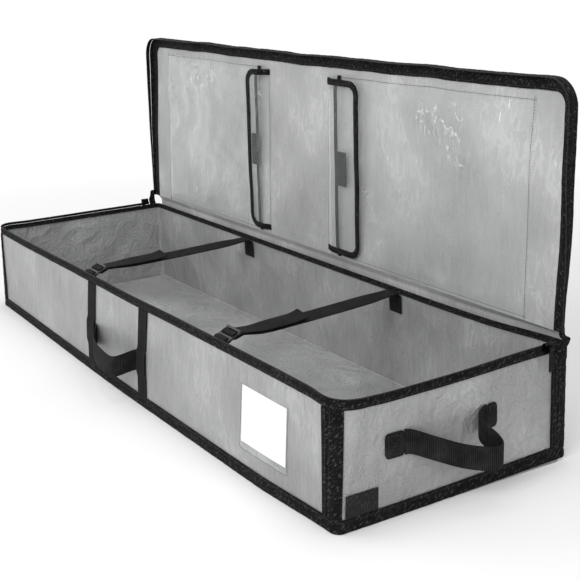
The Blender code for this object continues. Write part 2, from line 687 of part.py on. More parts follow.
def make_anchor(side, x):
    """Doubled webbing from the front wall, round the lock's front bar and back."""
    pivot = lock_pivot(x)
    turn = math.hypot(LOCK_FRONT_BAR, LOCK_T) / 2 + GAP + WEB_T / 2
    near = -HALF_W + PANEL_T + GAP + WEB_T / 2
    far = near + WEB_T + GAP
    foot = HEIGHT - STRAP_TACK_DROP - STRAP_TACK_L
    knee = HEIGHT - STRAP_TACK_DROP
    neck = RIM_TOP - RIM_LEG - GAP - WEB_T / 2
    points = [(near, foot), (near, knee), (pivot.y - turn, neck)]
    for k in range(2 * ARC_STEPS + 1):
        angle = math.radians(180 - 225 * k / (2 * ARC_STEPS))
        points.append((pivot.y + turn * math.cos(angle), pivot.z + turn * math.sin(angle)))
    points += [(pivot.y - turn + WEB_T * 3 / 2, neck), (far, knee), (far, foot)]
    strip("strap_anchor_" + side, [(x, y, z) for y, z in points], (1, 0, 0), STRAP_W, WEB_T, BLACK_WEBBING)


def make_strap(side, x):
    """From the back wall across with a sag, then up, over the lock's grip bar and down to a free tail."""
    _, (inner, inner_end), (outer, outer_end) = lock_slots()
    clear = LOCK_T / 2 + GAP + WEB_T / 2
    lean = WEB_T / 2
    inner_mid, outer_mid = (inner + inner_end) / 2, (outer + outer_end) / 2
    threaded = [(outer_end + LOCK_REAR_BAR + WEB_T, -clear - GAP), (outer_mid + lean + GAP, -clear),
                (outer_mid - lean - GAP, clear), (inner_mid + lean, clear), (inner_mid - lean, -clear)]
    in_lock = [lock_place(x, b, c) for b, c in threaded]
    in_lock.append(in_lock[-1] - Vector((0.0, 0.0, STRAP_TAIL)))

    face = HALF_W - PANEL_T - GAP - WEB_T / 2
    back_x = x - STRAP_SKEW
    foot = Vector((back_x, face, HEIGHT - STRAP_TACK_DROP - STRAP_TACK_L))
    knee = Vector((back_x, face, HEIGHT - STRAP_TACK_DROP))
    start = Vector((back_x, face - STRAP_TACK_DROP / 4, HEIGHT - STRAP_TACK_DROP * 3 / 4))
    path = [foot, knee, start]
    steps = 2 * ARC_STEPS
    for k in range(1, steps):
        share = k / steps
        point = start.lerp(in_lock[0], share)
        point.z -= 4 * STRAP_SAG * share * (1 - share)
        path.append(point)
    strip("strap_" + side, path + in_lock, (1, 0, 0), STRAP_W, WEB_T, BLACK_WEBBING)


def pull_pin(out):
    """The pin's middle on the open slider."""
    distance = GAP + ZIP_T / 2 + SLIDER_HALF_CHANNEL + SLIDER_PLATE_T + PIVOT_OUT
    return Vector((out * (HALF_L + distance), HALF_W - SLIDER_SETBACK, HEIGHT))


def make_slider(side, out):
    """Zipper slider: two plates joined by a post, with two lugs that hold the pull's pin."""
    track = HALF_L + GAP + ZIP_T / 2
    y = HALF_W - SLIDER_SETBACK
    inner, outer = SLIDER_HALF_CHANNEL, SLIDER_HALF_CHANNEL + SLIDER_PLATE_T
    section = [(-outer, -SLIDER_HALF_H), (-inner, -SLIDER_HALF_H), (-inner, -SLIDER_POST_HALF_H),
               (inner, -SLIDER_POST_HALF_H), (inner, -SLIDER_HALF_H), (outer, -SLIDER_HALF_H),
               (outer, -LUG_HALF_H), (outer, LUG_HALF_H), (outer, SLIDER_HALF_H), (inner, SLIDER_HALF_H),
               (inner, SLIDER_POST_HALF_H), (-inner, SLIDER_POST_HALF_H), (-inner, SLIDER_HALF_H),
               (-outer, SLIDER_HALF_H)]
    lug_row = section.index((outer, -LUG_HALF_H))
    lug_in = PULL_W / 2 + GAP
    lug_out = lug_in + LUG_T
    stations = [-SLIDER_L / 2, -lug_out, -lug_in, lug_in, lug_out, SLIDER_L / 2]
    lug_bays = (stations.index(-lug_out), stations.index(lug_in))

    bm = bmesh.new()
    rows = [[bm.verts.new((out * (track + o), y + s, HEIGHT + z)) for o, z in section] for s in stations]
    count = len(section)
    lug_faces = []
    for bay, (low, high) in enumerate(zip(rows, rows[1:])):
        for i in range(count):
            j = (i + 1) % count
            face = bm.faces.new((low[i], low[j], high[j], high[i]))
            if i == lug_row and bay in lug_bays:
                lug_faces.append(face)
    bm.faces.new(rows[0])
    bm.faces.new(rows[-1])
    bmesh.ops.recalc_face_normals(bm, faces=bm.faces)
    for face in lug_faces:
        grown = bmesh.ops.extrude_discrete_faces(bm, faces=[face])["faces"][0]
        bmesh.ops.translate(bm, verts=grown.verts, vec=(out * LUG_REACH, 0.0, 0.0))
    slider = add_object("zipper_slider_" + side, bm, DARK_METAL, (out * track, y, HEIGHT))

    rod = bmesh.new()
    length = lug_in + lug_out
    bmesh.ops.create_cone(rod, cap_ends=True, segments=12, radius1=PIVOT_R, radius2=PIVOT_R, depth=length)
    pin = pull_pin(out)
    rod.transform(Matrix.Translation(pin) @ Matrix.Rotation(math.pi / 2, 4, "X"))
    guide = add_object("pin_guide_" + side, rod, DARK_METAL, pin)
    guide.hide_render = True
    guide.display_type = "WIRE"
    union = slider.modifiers.new("pin", "BOOLEAN")
    union.operation = "UNION"
    union.object = guide


def make_pull(side, out):
    """The pull hangs from the slider's pin by a rolled eye, open towards the slider."""
    hole = PIVOT_R + GAP
    steps = 2 * ARC_STEPS
    section = []
    for k in range(steps + 1):
        angle = PULL_EYE_START + (PULL_EYE_END - PULL_EYE_START) * k / steps
        section.append((PULL_EYE_R * math.cos(angle), PULL_EYE_R * math.sin(angle)))
    for k in range(steps + 1):
        angle = PULL_EYE_END + (-math.pi / 2 - PULL_EYE_END) * k / steps
        section.append((hole * math.cos(angle), hole * math.sin(angle)))
    face = PULL_EYE_R * math.cos(PULL_EYE_START)
    section += [(face - PULL_T, -PULL_L), (face, -PULL_L)]
    pin = pull_pin(out)
    rings = []
    for s in (-PULL_W / 2, PULL_W / 2):
        rings.append([(pin.x + out * o, pin.y + s, pin.z + z) for o, z in section])
    loft("zipper_pull_" + side, rings, DARK_METAL, pivot=pin)


def make_zipper_stop(side, out):
    """Folded tab that closes off the end of the zipper beside the hinge."""
    low, high = OUT + GAP, OUT + GAP + TAPE_T
    top = RIM_TOP
    block("zipper_stop_" + side, (out * (HALF_L + low), HALF_W - STOP_SETBACK - STOP_L, top - STOP_H),
          (out * (HALF_L + high), HALF_W - STOP_SETBACK, top), BLACK_TAPE)


def make_label():
    def front(x, z, lift):
        return Vector((x, -HALF_W - lift, z))

    right = HALF_L - CARD_SIDE
    left = right - CARD_W
    low = FLOOR_BAND + CARD_FOOT
    high = RIM_TOP - RIM_LEG - CARD_HEAD
    block("label_card", (left, low, GAP), (right, high, GAP + CARD_T), WHITE_CARD, front)
    raised = GAP + CARD_T + GAP
    clear = GAP * 2
    columns = [(left - CARD_MARGIN, GAP), (left - CARD_MARGIN + CARD_HEM, GAP), (left - clear, raised),
               (right + clear, raised), (right + CARD_MARGIN - CARD_HEM, GAP), (right + CARD_MARGIN, GAP)]
    rows = [(low - CARD_MARGIN, GAP), (low - CARD_MARGIN + CARD_HEM, GAP), (low - clear, raised),
            (high + CARD_MARGIN, raised)]
    raised_sheet("label_window", columns, rows, CLEAR_FILM, front, FILM_T)


def make_tag():
    foot = FLOOR_BAND + GAP
    block("side_tag", (HALF_L + GAP, TAG_Y - TAG_W / 2, foot),
          (HALF_L + GAP + TAG_T, TAG_Y + TAG_W / 2, foot + TAG_H), SLATE_WEAVE)


def main():
    for obj in list(bpy.data.objects):
        bpy.data.objects.remove(obj, do_unlink=True)
    make_tray_panels()
    make_tray_bindings()
    make_zipper_tapes()
    make_lid()
    make_pocket("left", POCKET_LEFT_X, POCKET_LEFT_END_X, FLAP_LEFT_L)
    make_pocket("right", POCKET_RIGHT_X, POCKET_RIGHT_END_X, FLAP_RIGHT_L)
    make_front_band("front_band_left", BAND_LEFT_X)
    make_front_band("front_band_right", BAND_RIGHT_X)
    make_front_handle()
    for side, out in (("left", -1), ("right", 1)):
        make_end_handle(side, out)
        make_slider(side, out)
        make_pull(side, out)
        make_zipper_stop(side, out)
    for side, x in (("left", STRAP_LEFT_X), ("right", STRAP_RIGHT_X)):
        make_lock(side, x)
        make_anchor(side, x)
        make_strap(side, x)
    make_label()
    make_tag()


main()
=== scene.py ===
import math

import bmesh
import bpy
import numpy as np
from mathutils import Matrix, Vector


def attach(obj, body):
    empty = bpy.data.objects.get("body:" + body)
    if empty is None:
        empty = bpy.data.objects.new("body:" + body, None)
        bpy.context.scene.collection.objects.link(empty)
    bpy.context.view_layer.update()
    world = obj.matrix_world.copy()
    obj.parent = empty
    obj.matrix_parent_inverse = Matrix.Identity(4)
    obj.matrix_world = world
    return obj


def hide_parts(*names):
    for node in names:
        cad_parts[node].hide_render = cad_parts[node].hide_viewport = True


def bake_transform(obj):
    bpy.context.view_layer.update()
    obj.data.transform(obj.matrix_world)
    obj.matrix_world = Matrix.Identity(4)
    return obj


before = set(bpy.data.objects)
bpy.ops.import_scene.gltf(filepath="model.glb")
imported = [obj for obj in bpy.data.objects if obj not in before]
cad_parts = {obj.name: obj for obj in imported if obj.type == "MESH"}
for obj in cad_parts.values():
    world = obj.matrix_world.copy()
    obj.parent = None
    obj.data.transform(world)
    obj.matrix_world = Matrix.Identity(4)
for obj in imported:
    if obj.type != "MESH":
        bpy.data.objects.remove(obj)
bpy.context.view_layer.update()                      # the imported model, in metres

print("frame loaded,", len(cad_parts), "nodes")

# the bag's own sizes in metres, the same as in the solids
bag = {
    "length": 1.03, "width": 0.30, "height": 0.14, "skirt": 0.012,
    "panel": 0.0012, "tape": 0.0011, "film": 0.0006, "web": 0.0015, "gap": 0.0003,
    "rimRadius": 0.030, "floorRadius": 0.009, "backRadius": 0.006,
    "rimLeg": 0.0068, "floorBand": 0.0155, "wideLeg": 0.021, "narrowLeg": 0.004,
    "lidInner": 0.015, "lidOuter": 0.010, "lidInset": 0.0185, "zip": 0.0055, "zipStart": 0.0185, "hingeIn": 0.008,
}
gap = bag["gap"]
halfL, halfW, boxH = bag["length"] / 2, bag["width"] / 2, bag["height"]
outFace = gap + bag["tape"]
inFace = -bag["panel"] - gap - bag["tape"]
rimTop = boxH - bag["zip"] - gap
wallTop = rimTop - bag["tape"] - gap
lidInner = boxH + bag["skirt"] - bag["panel"]
hingeY = halfW - bag["hingeIn"]
cornerSigns = {"frontLeft": (-1, -1), "frontRight": (1, -1), "backRight": (1, 1), "backLeft": (-1, 1)}
lockSpots = (-0.1085, 0.2790)
bandSpots = {"left": -0.0990, "right": 0.0715}
pocketSpans = {"left": (-0.109, -0.455), "right": (0.048, 0.452)}      # sewn root and far end
endTacks, endTackZ = (-0.0835, 0.040), 0.0805      # the end handles' sewn ends
tagY = -0.1220


def fade(x, a, b):
    t = np.clip((x - a) / (b - a), 0, 1)
    return t * t * (3 - 2 * t)


def drift(t, seed, span, octaves=3):          # slow wander between -1 and 1
    rng = np.random.default_rng(seed)
    total, weight = 0.0, 0.0
    for k in range(octaves):
        total = total + 0.6 ** k * np.sin(2 * np.pi * np.asarray(t) * 1.7 ** k / span + rng.uniform(0, 6.28))
        weight += 0.6 ** k
    return total / weight


def creases(u, v, seed, span, lean, count=8):  # sharp-ridged folds, patchy, between about -1 and 1
    rng = np.random.default_rng(seed)
    total = np.zeros(np.broadcast(u, v).shape)
    for k in range(count):
        angle = rng.normal(0, lean)
        rate = rng.uniform(0.6, 2.0) / span
        turn = rng.uniform(0, 6.28)
        bend = rng.uniform(0.15, 0.5) * np.sin(v * rng.uniform(0.7, 1.6) * 3 / span + turn)
        t = (u * math.cos(angle) + v * math.sin(angle)) * rate + turn + bend
        ridge = 1 - 2 * np.abs((t % 1) * 2 - 1) ** 0.8
        patch = 0.5 + 0.5 * np.sin(u * rng.uniform(0.4, 1.2) / span * 2 + v * rng.uniform(-2, 2) / span + turn)
        total += ridge * patch
    return total / count ** 0.5


# how far the soft bag strays from its pattern
soft = {"belly": 0.0014, "bellyChange": 0.0010, "footBow": 0.0120,
        "rimWave": 0.0007, "leftSag": 0.0010, "rightLift": 0.0042, "rimUp": 0.0013,
        "endWave": 0.0010,
        "endShear": 0.0030, "endRise": 0.0050, "endFoot": 0.0030, "bandRise": 0.0035, "endTwist": 0.0015,
        "lidSway": 0.0022, "lidLean": 0.0055, "lidBack": 0.0030, "lidDrop": 0.0092, "topWave": 0.0009}


def calmAtLocks(x):
    calm = 1.0
    for spot in lockSpots:
        calm = calm * fade(np.abs(x - spot), 0.02, 0.09)
    return calm


def rimBow(x):                                # how far the front rim stands out
    return soft["rimWave"] * drift(x, 3, 0.42) * (1 - fade(np.abs(x), halfL - 0.12, halfL - 0.03)) * calmAtLocks(x)


def footBow(x):                               # how far the foot of the front stands out
    return soft["footBow"] * fade(x, -halfL - 0.085, 0.06) * (1 - 0.5 * fade(x, 0.36, halfL))


def rimSag(x):                                # how far the front rim hangs, a little lift to the right of the middle
    left = soft["leftSag"] * fade(x, -halfL, -halfL + 0.10) * (1 - fade(x, -0.34, -0.06))
    right = soft["rightLift"] * fade(x, -0.10, 0.42) * (1 - fade(x, 0.46, halfL)) + soft["rimUp"]
    return left - right + 0.4 * soft["rimWave"] * drift(x, 8, 0.36) * calmAtLocks(x)


def endWave(y):
    return soft["endWave"] * drift(y, 12, 0.25) * fade(y, -halfW + 0.02, -halfW + 0.07) * (1 - fade(y, 0.07, 0.11))


def endRise(x, y):                            # the right end of the rim climbs a little towards the hinge
    return soft["endRise"] * fade(x, halfL - 0.14, halfL - 0.01) * fade(y, -0.06, 0.13)


def traySoft(points):
    p = np.array(points, float)
    x, y, z = p[..., 0], p[..., 1], p[..., 2]
    up = np.clip(z / boxH, 0, 1)
    belly = np.sin(np.pi * np.clip((z - 0.010) / (boxH - 0.022), 0, 1))
    front = 1 - fade(y, -halfW + 0.012, -halfW + 0.06)
    back = fade(y, halfW - 0.05, halfW - 0.012)
    side = fade(np.abs(x), halfL - 0.05, halfL - 0.012)
    alongX = 1 - fade(np.abs(x), halfL - 0.17, halfL - 0.02)
    alongY = fade(y, -halfW, -halfW + 0.08) * (1 - fade(y, halfW - 0.09, halfW - 0.01))
    swell = soft["belly"] + soft["bellyChange"] * drift(x, 5, 0.31)
    swellBack = soft["belly"] * 0.6 + soft["bellyChange"] * drift(x, 6, 0.27)
    swellEnd = soft["belly"] * 0.7 + soft["bellyChange"] * drift(y, 7, 0.19) * np.sign(x)
    bow = footBow(x) * (1 - up) ** 1.25 + rimBow(x) * up
    p[..., 1] -= front * (belly * alongX * swell + bow)
    p[..., 1] += back * belly * alongX * swellBack
    p[..., 0] += np.sign(x) * side * (belly * alongY * swellEnd + up ** 2 * endWave(y))
    turned = np.clip((y + halfW) / bag["width"], 0, 1) * fade(x, halfL - 0.25, halfL)
    p[..., 0] += side * fade(x, 0, 0.1) * (soft["endTwist"] * (1 - turned) - soft["endShear"] * turned)
    p[..., 1] += back * 2 * soft["endShear"] * turned
    p[..., 2] += (1 - up) ** 4 * soft["endFoot"] * turned ** 2
    p[..., 2] += side * turned ** 2 * soft["bandRise"] * np.exp(-((z - bag["floorBand"]) / 0.007) ** 2)
    p[..., 2] -= front * up ** 2 * rimSag(x)
    p[..., 2] += up ** 3 * endRise(x, y)
    return p


def lidSoft(points):
    p = np.array(points, float)
    x, v = p[..., 0], p[..., 2] - boxH
    y = hingeY - v                            # the place along the closed bag
    depth = np.clip((p[..., 1] - hingeY) / bag["skirt"], -0.2, 1.3)      # 0 at the zipper, 1 at the lid's back
    rise = fade(v, 0.02, 0.12)
    middle = 1 - fade(np.abs(x), halfL - 0.10, halfL - 0.004)
    below = 1 - fade(v, 0.24, 0.288)
    left = 1 - fade(x, -halfL, 0.0)
    sway = 0.6 * drift(x, 21, 0.5) + 0.4 * drift(v + x * 0.3, 22, 0.21)
    lean = -soft["lidLean"] * (1 - fade(v, 0.0, 0.17)) * (1 + 0.2 * left)
    lean = lean + soft["lidBack"] * fade(v, 0.12, 0.25) * (0.6 + 1.8 * left)
    p[..., 1] += depth * lean + rise * middle * below * soft["lidSway"] * sway
    p[..., 1] -= fade(v, 0.19, 0.29) * rimSag(x)
    p[..., 1] += endRise(x, y) * (1 - np.clip(depth, 0, 1)) * fade(v, -0.01, 0.02)
    drop = soft["lidDrop"] * (0.72 + 0.28 * fade(x, -halfL + 0.10, 0.05)) * (1 - 0.12 * fade(x, 0.40, halfL))
    turned = np.clip((y + halfW) / bag["width"], 0, 1) * fade(x, halfL - 0.25, halfL)
    turned = turned * fade(x, halfL - 0.05, halfL - 0.012)
    p[..., 0] -= soft["endShear"] * turned * (1 - fade(v, 0.02, 0.12))
    p[..., 2] -= drop * np.clip(v / 0.29, 0, 1) + soft["topWave"] * drift(x, 24, 0.19) * fade(v, 0.20, 0.29) * middle
    p[..., 0] += np.sign(x) * fade(np.abs(x), halfL - 0.06, halfL - 0.01) * endWave(y)
    return p


# the outline of the box
def cornerRadius(corner, z):
    if corner.startswith("back"):
        return np.full_like(z, bag["backRadius"])
    return bag["floorRadius"] + (bag["rimRadius"] - bag["floorRadius"]) * np.clip(z / boxH, 0, 1)


def arcPoint(corner, share, z, offset):
    sx, sy = cornerSigns[corner]
    radius = cornerRadius(corner, z)
    angle = math.atan2(sy, sx) + share * math.pi / 4
    return np.stack([sx * (halfL - radius) + math.cos(angle) * (radius + offset),
                     sy * (halfW - radius) + math.sin(angle) * (radius + offset), z], -1)


def stationRow(station, z, offset):           # points of one station, for lists of heights and offsets
    z = np.asarray(z, float)
    offset = np.asarray(offset, float) + 0 * z
    first, second, t = station
    if second is None:
        return arcPoint(first, t, z, offset)
    return arcPoint(first, 1, z, offset) * (1 - t) + arcPoint(second, -1, z, offset) * t


def stationOut(station):                      # outward direction at a station
    first, second, t = station
    sx, sy = cornerSigns[first]
    angle = math.atan2(sy, sx) + (t if second is None else 1) * math.pi / 4
    return np.array([math.cos(angle), math.sin(angle), 0.0])


def arcStations(corner, a, b):
    steps = 4 if corner.startswith("back") else 9
    return [(corner, None, a + (b - a) * i / steps) for i in range(steps + 1)]


def runStations(first, second, spacing, low=0.0, high=1.0):
    reach = bag["length"] if first[:4] == second[:4] else bag["width"]
    count = max(2, round(reach * (high - low) / spacing))
    return [(first, second, low + (high - low) * i / count) for i in range(1, count)]


def halfRing(first, second, spacing):         # one wall, from the middle of a corner to the middle of the next
    return arcStations(first, 0, 1) + runStations(first, second, spacing) + arcStations(second, -1, 0)


def fullRing(spacing):
    names = list(cornerSigns)
    stations = []
    for i, corner in enumerate(names):
        stations += arcStations(corner, -1, 1) + runStations(corner, names[(i + 1) % 4], spacing)
    return stations


def zipRing(spacing):                         # left side, front and right side, clear of the hinge
    straight = bag["width"] - bag["rimRadius"] - bag["backRadius"]
    cut = (bag["zipStart"] - bag["backRadius"]) / straight
    stations = [("backLeft", "frontLeft", cut)] + runStations("backLeft", "frontLeft", spacing, cut)
    stations += arcStations("frontLeft", -1, 1) + runStations("frontLeft", "frontRight", spacing)
    stations += arcStations("frontRight", -1, 1) + runStations("frontRight", "backRight", spacing, 0, 1 - cut)
    return stations + [("frontRight", "backRight", 1 - cut)]


def openLid(p):                               # from the closed lid to the lid standing open
    p = np.asarray(p, float)
    return np.stack([p[..., 0], hingeY + p[..., 2] - boxH, boxH + hingeY - p[..., 1]], -1)


def lidPoint(x, v, w):                        # v up from the hinge line, w in from the lid's inner face
    return np.stack(np.broadcast_arrays(x, hingeY + bag["skirt"] - bag["panel"] - np.asarray(w, float),
                                        boxH + np.asarray(v, float)), -1)


def lengths(points):                          # running length along a row of points
    steps = np.linalg.norm(np.diff(points, axis=0), axis=1)
    return np.concatenate([[0], np.cumsum(steps)])


# mesh tools
def addObject(name, data):
    obj = bpy.data.objects.new(name, data)
    bpy.context.scene.collection.objects.link(obj)
    return obj


def netOf(us, vs):
    return np.meshgrid(us, vs, indexing="ij")


def makeObject(name, verts, faces, uvs, material, smoothAngle=50):
    mesh = bpy.data.meshes.new(name)
    mesh.from_pydata([tuple(v) for v in verts], [], [tuple(f) for f in faces])
    layer = mesh.uv_layers.new(name="cloth")
    layer.data.foreach_set("uv", np.asarray(uvs, np.float32).ravel())
    bm = bmesh.new()
    bm.from_mesh(mesh)
    bmesh.ops.recalc_face_normals(bm, faces=bm.faces)
    bm.to_mesh(mesh)
    bm.free()
    mesh.shade_smooth()
    mesh.set_sharp_from_angle(angle=math.radians(smoothAngle))
    mesh.materials.append(material)
    return addObject(name, mesh)


def gridQuads(rows, cols, wrapRows=False, wrapCols=False):
    steps = [np.arange(n if wrap else n - 1) for n, wrap in ((rows, wrapRows), (cols, wrapCols))]
    i, j = (k.ravel() for k in netOf(*steps))
    corners = [(i, j), (i + 1, j), (i + 1, j + 1), (i, j + 1)]
    faces = np.stack([(a % rows) * cols + b % cols for a, b in corners], -1)
    return faces, corners


def gridUvs(corners, us, vs):
    return np.stack([np.stack([us[a], vs[b]], -1) for a, b in corners], 1)


def shell(name, outer, inner, us, vs, material):   # a thin closed sheet from its two faces
    n, m = outer.shape[:2]
    faces, corners = gridQuads(n, m)
    uvs = gridUvs(corners, us, vs)
    rim = [(i, 0) for i in range(n)] + [(n - 1, j) for j in range(1, m)]
    rim += [(i, m - 1) for i in range(n - 2, -1, -1)] + [(0, j) for j in range(m - 2, 0, -1)]
    rim = np.array(rim)
    after = np.roll(rim, -1, axis=0)
    a, b = rim[:, 0] * m + rim[:, 1], after[:, 0] * m + after[:, 1]
    edge = np.stack([a, b, b + n * m, a + n * m], -1)
    uvA, uvB = (np.stack([us[k[:, 0]], vs[k[:, 1]]], -1) for k in (rim, after))
    edgeUv = np.stack([uvA, uvB, uvB, uvA], 1)
    allFaces = np.concatenate([faces, faces[:, ::-1] + n * m, edge])
    allUvs = np.concatenate([uvs, uvs[:, ::-1], edgeUv])
    verts = np.concatenate([outer.reshape(-1, 3), inner.reshape(-1, 3)])
    return makeObject(name, verts, allFaces.tolist(), allUvs, material)


def tube(name, rings, us, vs, material, closed=False, smoothAngle=50):   # a closed section carried along a path
    rings = np.asarray(rings, float)
    n, k = rings.shape[:2]
    faces, corners = gridQuads(n, k, closed, True)
    uvs = gridUvs(corners, us, vs).reshape(-1, 2)
    faces = faces.tolist()
    if not closed:
        faces += [list(range(k)), list(range((n - 1) * k, n * k))]
        cap = np.stack([np.zeros(k), vs[:k]], -1)
        uvs = np.concatenate([uvs, cap, cap])
    return makeObject(name, rings.reshape(-1, 3), faces, uvs, material, smoothAngle)


def softProfile(points, step, rounds):        # a closed section with more points, its corners eased
    points = np.array(points, float)
    result = []
    for a, b in zip(points, np.roll(points, -1, axis=0)):
        cuts = max(1, math.ceil(np.linalg.norm(b - a) / step))
        result += [a + (b - a) * k / cuts for k in range(cuts)]
    result = np.array(result)
    for _ in range(rounds):
        result = result * 0.5 + (np.roll(result, 1, axis=0) + np.roll(result, -1, axis=0)) * 0.25
    return result


def wrapLengths(profile):
    return lengths(np.concatenate([profile, profile[:1]]))


def smoothPath(points, steps):                # Catmull-Rom curve through the points
    p = np.array(points, float)
    p = np.concatenate([[2 * p[0] - p[1]], p, [2 * p[-1] - p[-2]]])
    result = []
    for i in range(1, len(p) - 2):
        a, b, c, d = p[i - 1:i + 3]
        for k in range(steps):
            t = k / steps
            result.append(0.5 * (2 * b + (c - a) * t + (2 * a - 5 * b + 4 * c - d) * t * t
                                 + (3 * b - a - 3 * c + d) * t ** 3))
    result.append(p[-2])
    return np.array(result)


def evenPath(points, spacing):
    run = lengths(points)
    count = max(2, math.ceil(run[-1] / spacing))
    at = np.linspace(0, run[-1], count + 1)
    return np.stack([np.interp(at, run, points[:, k]) for k in range(points.shape[1])], -1)


def unit(v):
    v = np.asarray(v, float)
    return v / np.maximum(np.linalg.norm(v, axis=-1, keepdims=True), 1e-12)


# flat webbing, its edges thinned like a selvedge and its end corners rounded where corner is given
def webStrip(name, path, across, width, thickness, material, shape, corner=0.0):
    across = unit(np.broadcast_to(np.asarray(across, float), path.shape))
    normal = unit(np.cross(unit(np.gradient(path, axis=0)), across))
    half = [-1.0, -0.97, -0.86, -0.6, -0.3, 0.0, 0.3, 0.6, 0.86, 0.97, 1.0]
    thick = [0.35, 0.75, 1.0, 0.94, 0.96, 0.98, 0.96, 0.94, 1.0, 0.75, 0.35]
    a = np.array(half + half[::-1]) * width / 2
    b = np.array(thick + [-t for t in thick[::-1]]) * thickness / 2
    us = lengths(path)
    short = np.maximum(corner - np.minimum(us, us[-1] - us), 0)
    share = 1 - (corner - np.sqrt(np.maximum(corner ** 2 - short ** 2, 0))) / (width / 2)
    rings = path[:, None, :] + across[:, None, :] * (a[None, :] * share[:, None])[..., None]
    rings = rings + normal[:, None, :] * b[None, :, None]
    return tube(name, shape(rings), us, np.append(a, a[0]), material, smoothAngle=60)


# shader groups and materials
def newGroup(name, numbers, results):         # a group that takes coordinates and numbers and gives numbers
    group = bpy.data.node_groups.new(name, "ShaderNodeTree")
    face = group.interface
    face.new_socket(name="Coordinates", in_out="INPUT", socket_type="NodeSocketVector")
    for label, value in numbers.items():
        face.new_socket(name=label, in_out="INPUT", socket_type="NodeSocketFloat").default_value = value
    for label in results:
        face.new_socket(name=label, in_out="OUTPUT", socket_type="NodeSocketFloat")
    return group, group.nodes.new("NodeGroupInput"), group.nodes.new("NodeGroupOutput")


def node(tree, kind, settings=None, **links):
    made = tree.nodes.new(kind)
    for key, value in (settings or {}).items():
        setattr(made, key, value)
    for key, value in links.items():
        numbered = key[0] == "i" and key[1:].isdigit()
        socket = made.inputs[int(key[1:]) if numbered else key.replace("_", " ")]
        if isinstance(value, bpy.types.NodeSocket):
            tree.links.new(value, socket)
        else:
            socket.default_value = value
    return made


def sums(tree, kind, a, b=0.0, c=None):       # a math node's output
    extra = {} if c is None else {"i2": c}
    return node(tree, "ShaderNodeMath", {"operation": kind}, i0=a, i1=b, **extra).outputs[0]


def times(tree, a, b):
    return sums(tree, "MULTIPLY", a, b)


def plus(tree, a, b):
    return sums(tree, "ADD", a, b)


def noise(tree, where, scale, detail, **more):
    return node(tree, "ShaderNodeTexNoise", Vector=where, Scale=scale, Detail=detail, **more).outputs["Fac"]


def groupNode(tree, group, **links):
    return node(tree, "ShaderNodeGroup", {"node_tree": group}, **links)


def spread(tree, value, low, high, outLow=0.0, outHigh=1.0):
    made = node(tree, "ShaderNodeMapRange", {"clamp": True}, Value=value)
    for key, number in (("From Min", low), ("From Max", high), ("To Min", outLow), ("To Max", outHigh)):
        made.inputs[key].default_value = number
    return made.outputs["Result"]


# crossed threads: height in metres and a tone between 0 and 1
def makeWeaveGroup():
    group, ins, outs = newGroup("weave", {"Pitch U": 0.001, "Pitch V": 0.001, "Wander": 0.15}, ("Height", "Tone"))
    split = node(group, "ShaderNodeSeparateXYZ", i0=ins.outputs["Coordinates"])
    stray = noise(group, ins.outputs["Coordinates"], 90.0, 2.0)
    shift = times(group, sums(group, "SUBTRACT", stray, 0.5), ins.outputs["Wander"])
    waves = []
    for axis, pitch in (("X", "Pitch U"), ("Y", "Pitch V")):
        turns = plus(group, sums(group, "DIVIDE", split.outputs[axis], ins.outputs[pitch]), shift)
        waves.append(sums(group, "SINE", times(group, turns, 2 * math.pi)))
    product = times(group, waves[0], waves[1])
    plain = sums(group, "MULTIPLY_ADD", plus(group, waves[0], waves[1]), 0.2, product)
    group.links.new(plain, outs.inputs["Height"])
    group.links.new(spread(group, plain, -1.2, 1.2), outs.inputs["Tone"])
    return group


# creased film: ridges at two sizes and a mask of their sharp tops
def makeCrinkleGroup():
    group, ins, outs = newGroup("crinkle", {"Scale": 22.0, "Stretch": 0.35}, ("Height", "Creases", "Clouds"))
    split = node(group, "ShaderNodeSeparateXYZ", i0=ins.outputs["Coordinates"])
    tall = times(group, split.outputs["Y"], ins.outputs["Stretch"])
    squashed = node(group, "ShaderNodeCombineXYZ", i0=split.outputs["X"], i1=tall, i2=split.outputs["Z"]).outputs[0]
    big = noise(group, squashed, ins.outputs["Scale"], 1.5, Distortion=0.6)
    fine = noise(group, squashed, times(group, ins.outputs["Scale"], 3.7), 2.0, Distortion=0.9)
    ridges = []
    for made, width in ((big, 0.16), (fine, 0.12)):
        centred = sums(group, "ABSOLUTE", sums(group, "SUBTRACT", made, 0.5))
        ridges.append(spread(group, centred, 0.0, width, 1.0, 0.0))
    clouds = noise(group, ins.outputs["Coordinates"], 7.0, 3.0)
    patch = spread(group, clouds, 0.42, 0.62)
    high = sums(group, "MULTIPLY_ADD", ridges[1], 0.35, ridges[0])
    tops = sums(group, "POWER", times(group, ridges[1], patch), 3.0)
    group.links.new(high, outs.inputs["Height"])
    group.links.new(tops, outs.inputs["Creases"])
    group.links.new(clouds, outs.inputs["Clouds"])
    return group


# fine uneven fibres
def makeLintGroup():
    group, ins, outs = newGroup("lint", {"Scale": 900.0}, ("Tone", "Wear"))
    where = ins.outputs["Coordinates"]
    group.links.new(noise(group, where, ins.outputs["Scale"], 3.0, Roughness=0.7), outs.inputs["Tone"])
    group.links.new(noise(group, where, 38.0, 4.0, Roughness=0.65), outs.inputs["Wear"])
    return group


weaveGroup, crinkleGroup, lintGroup = makeWeaveGroup(), makeCrinkleGroup(), makeLintGroup()


def startMaterial(name, values):
    material = bpy.data.materials.new(name)
    material.use_nodes = True
    tree = material.node_tree
    shader = tree.nodes["Principled BSDF"]
    for key, value in values.items():
        shader.inputs[key].default_value = value
    return material, tree, shader


def uvCoordinates(tree):
    return node(tree, "ShaderNodeUVMap", {"uv_map": "cloth"}).outputs["UV"]


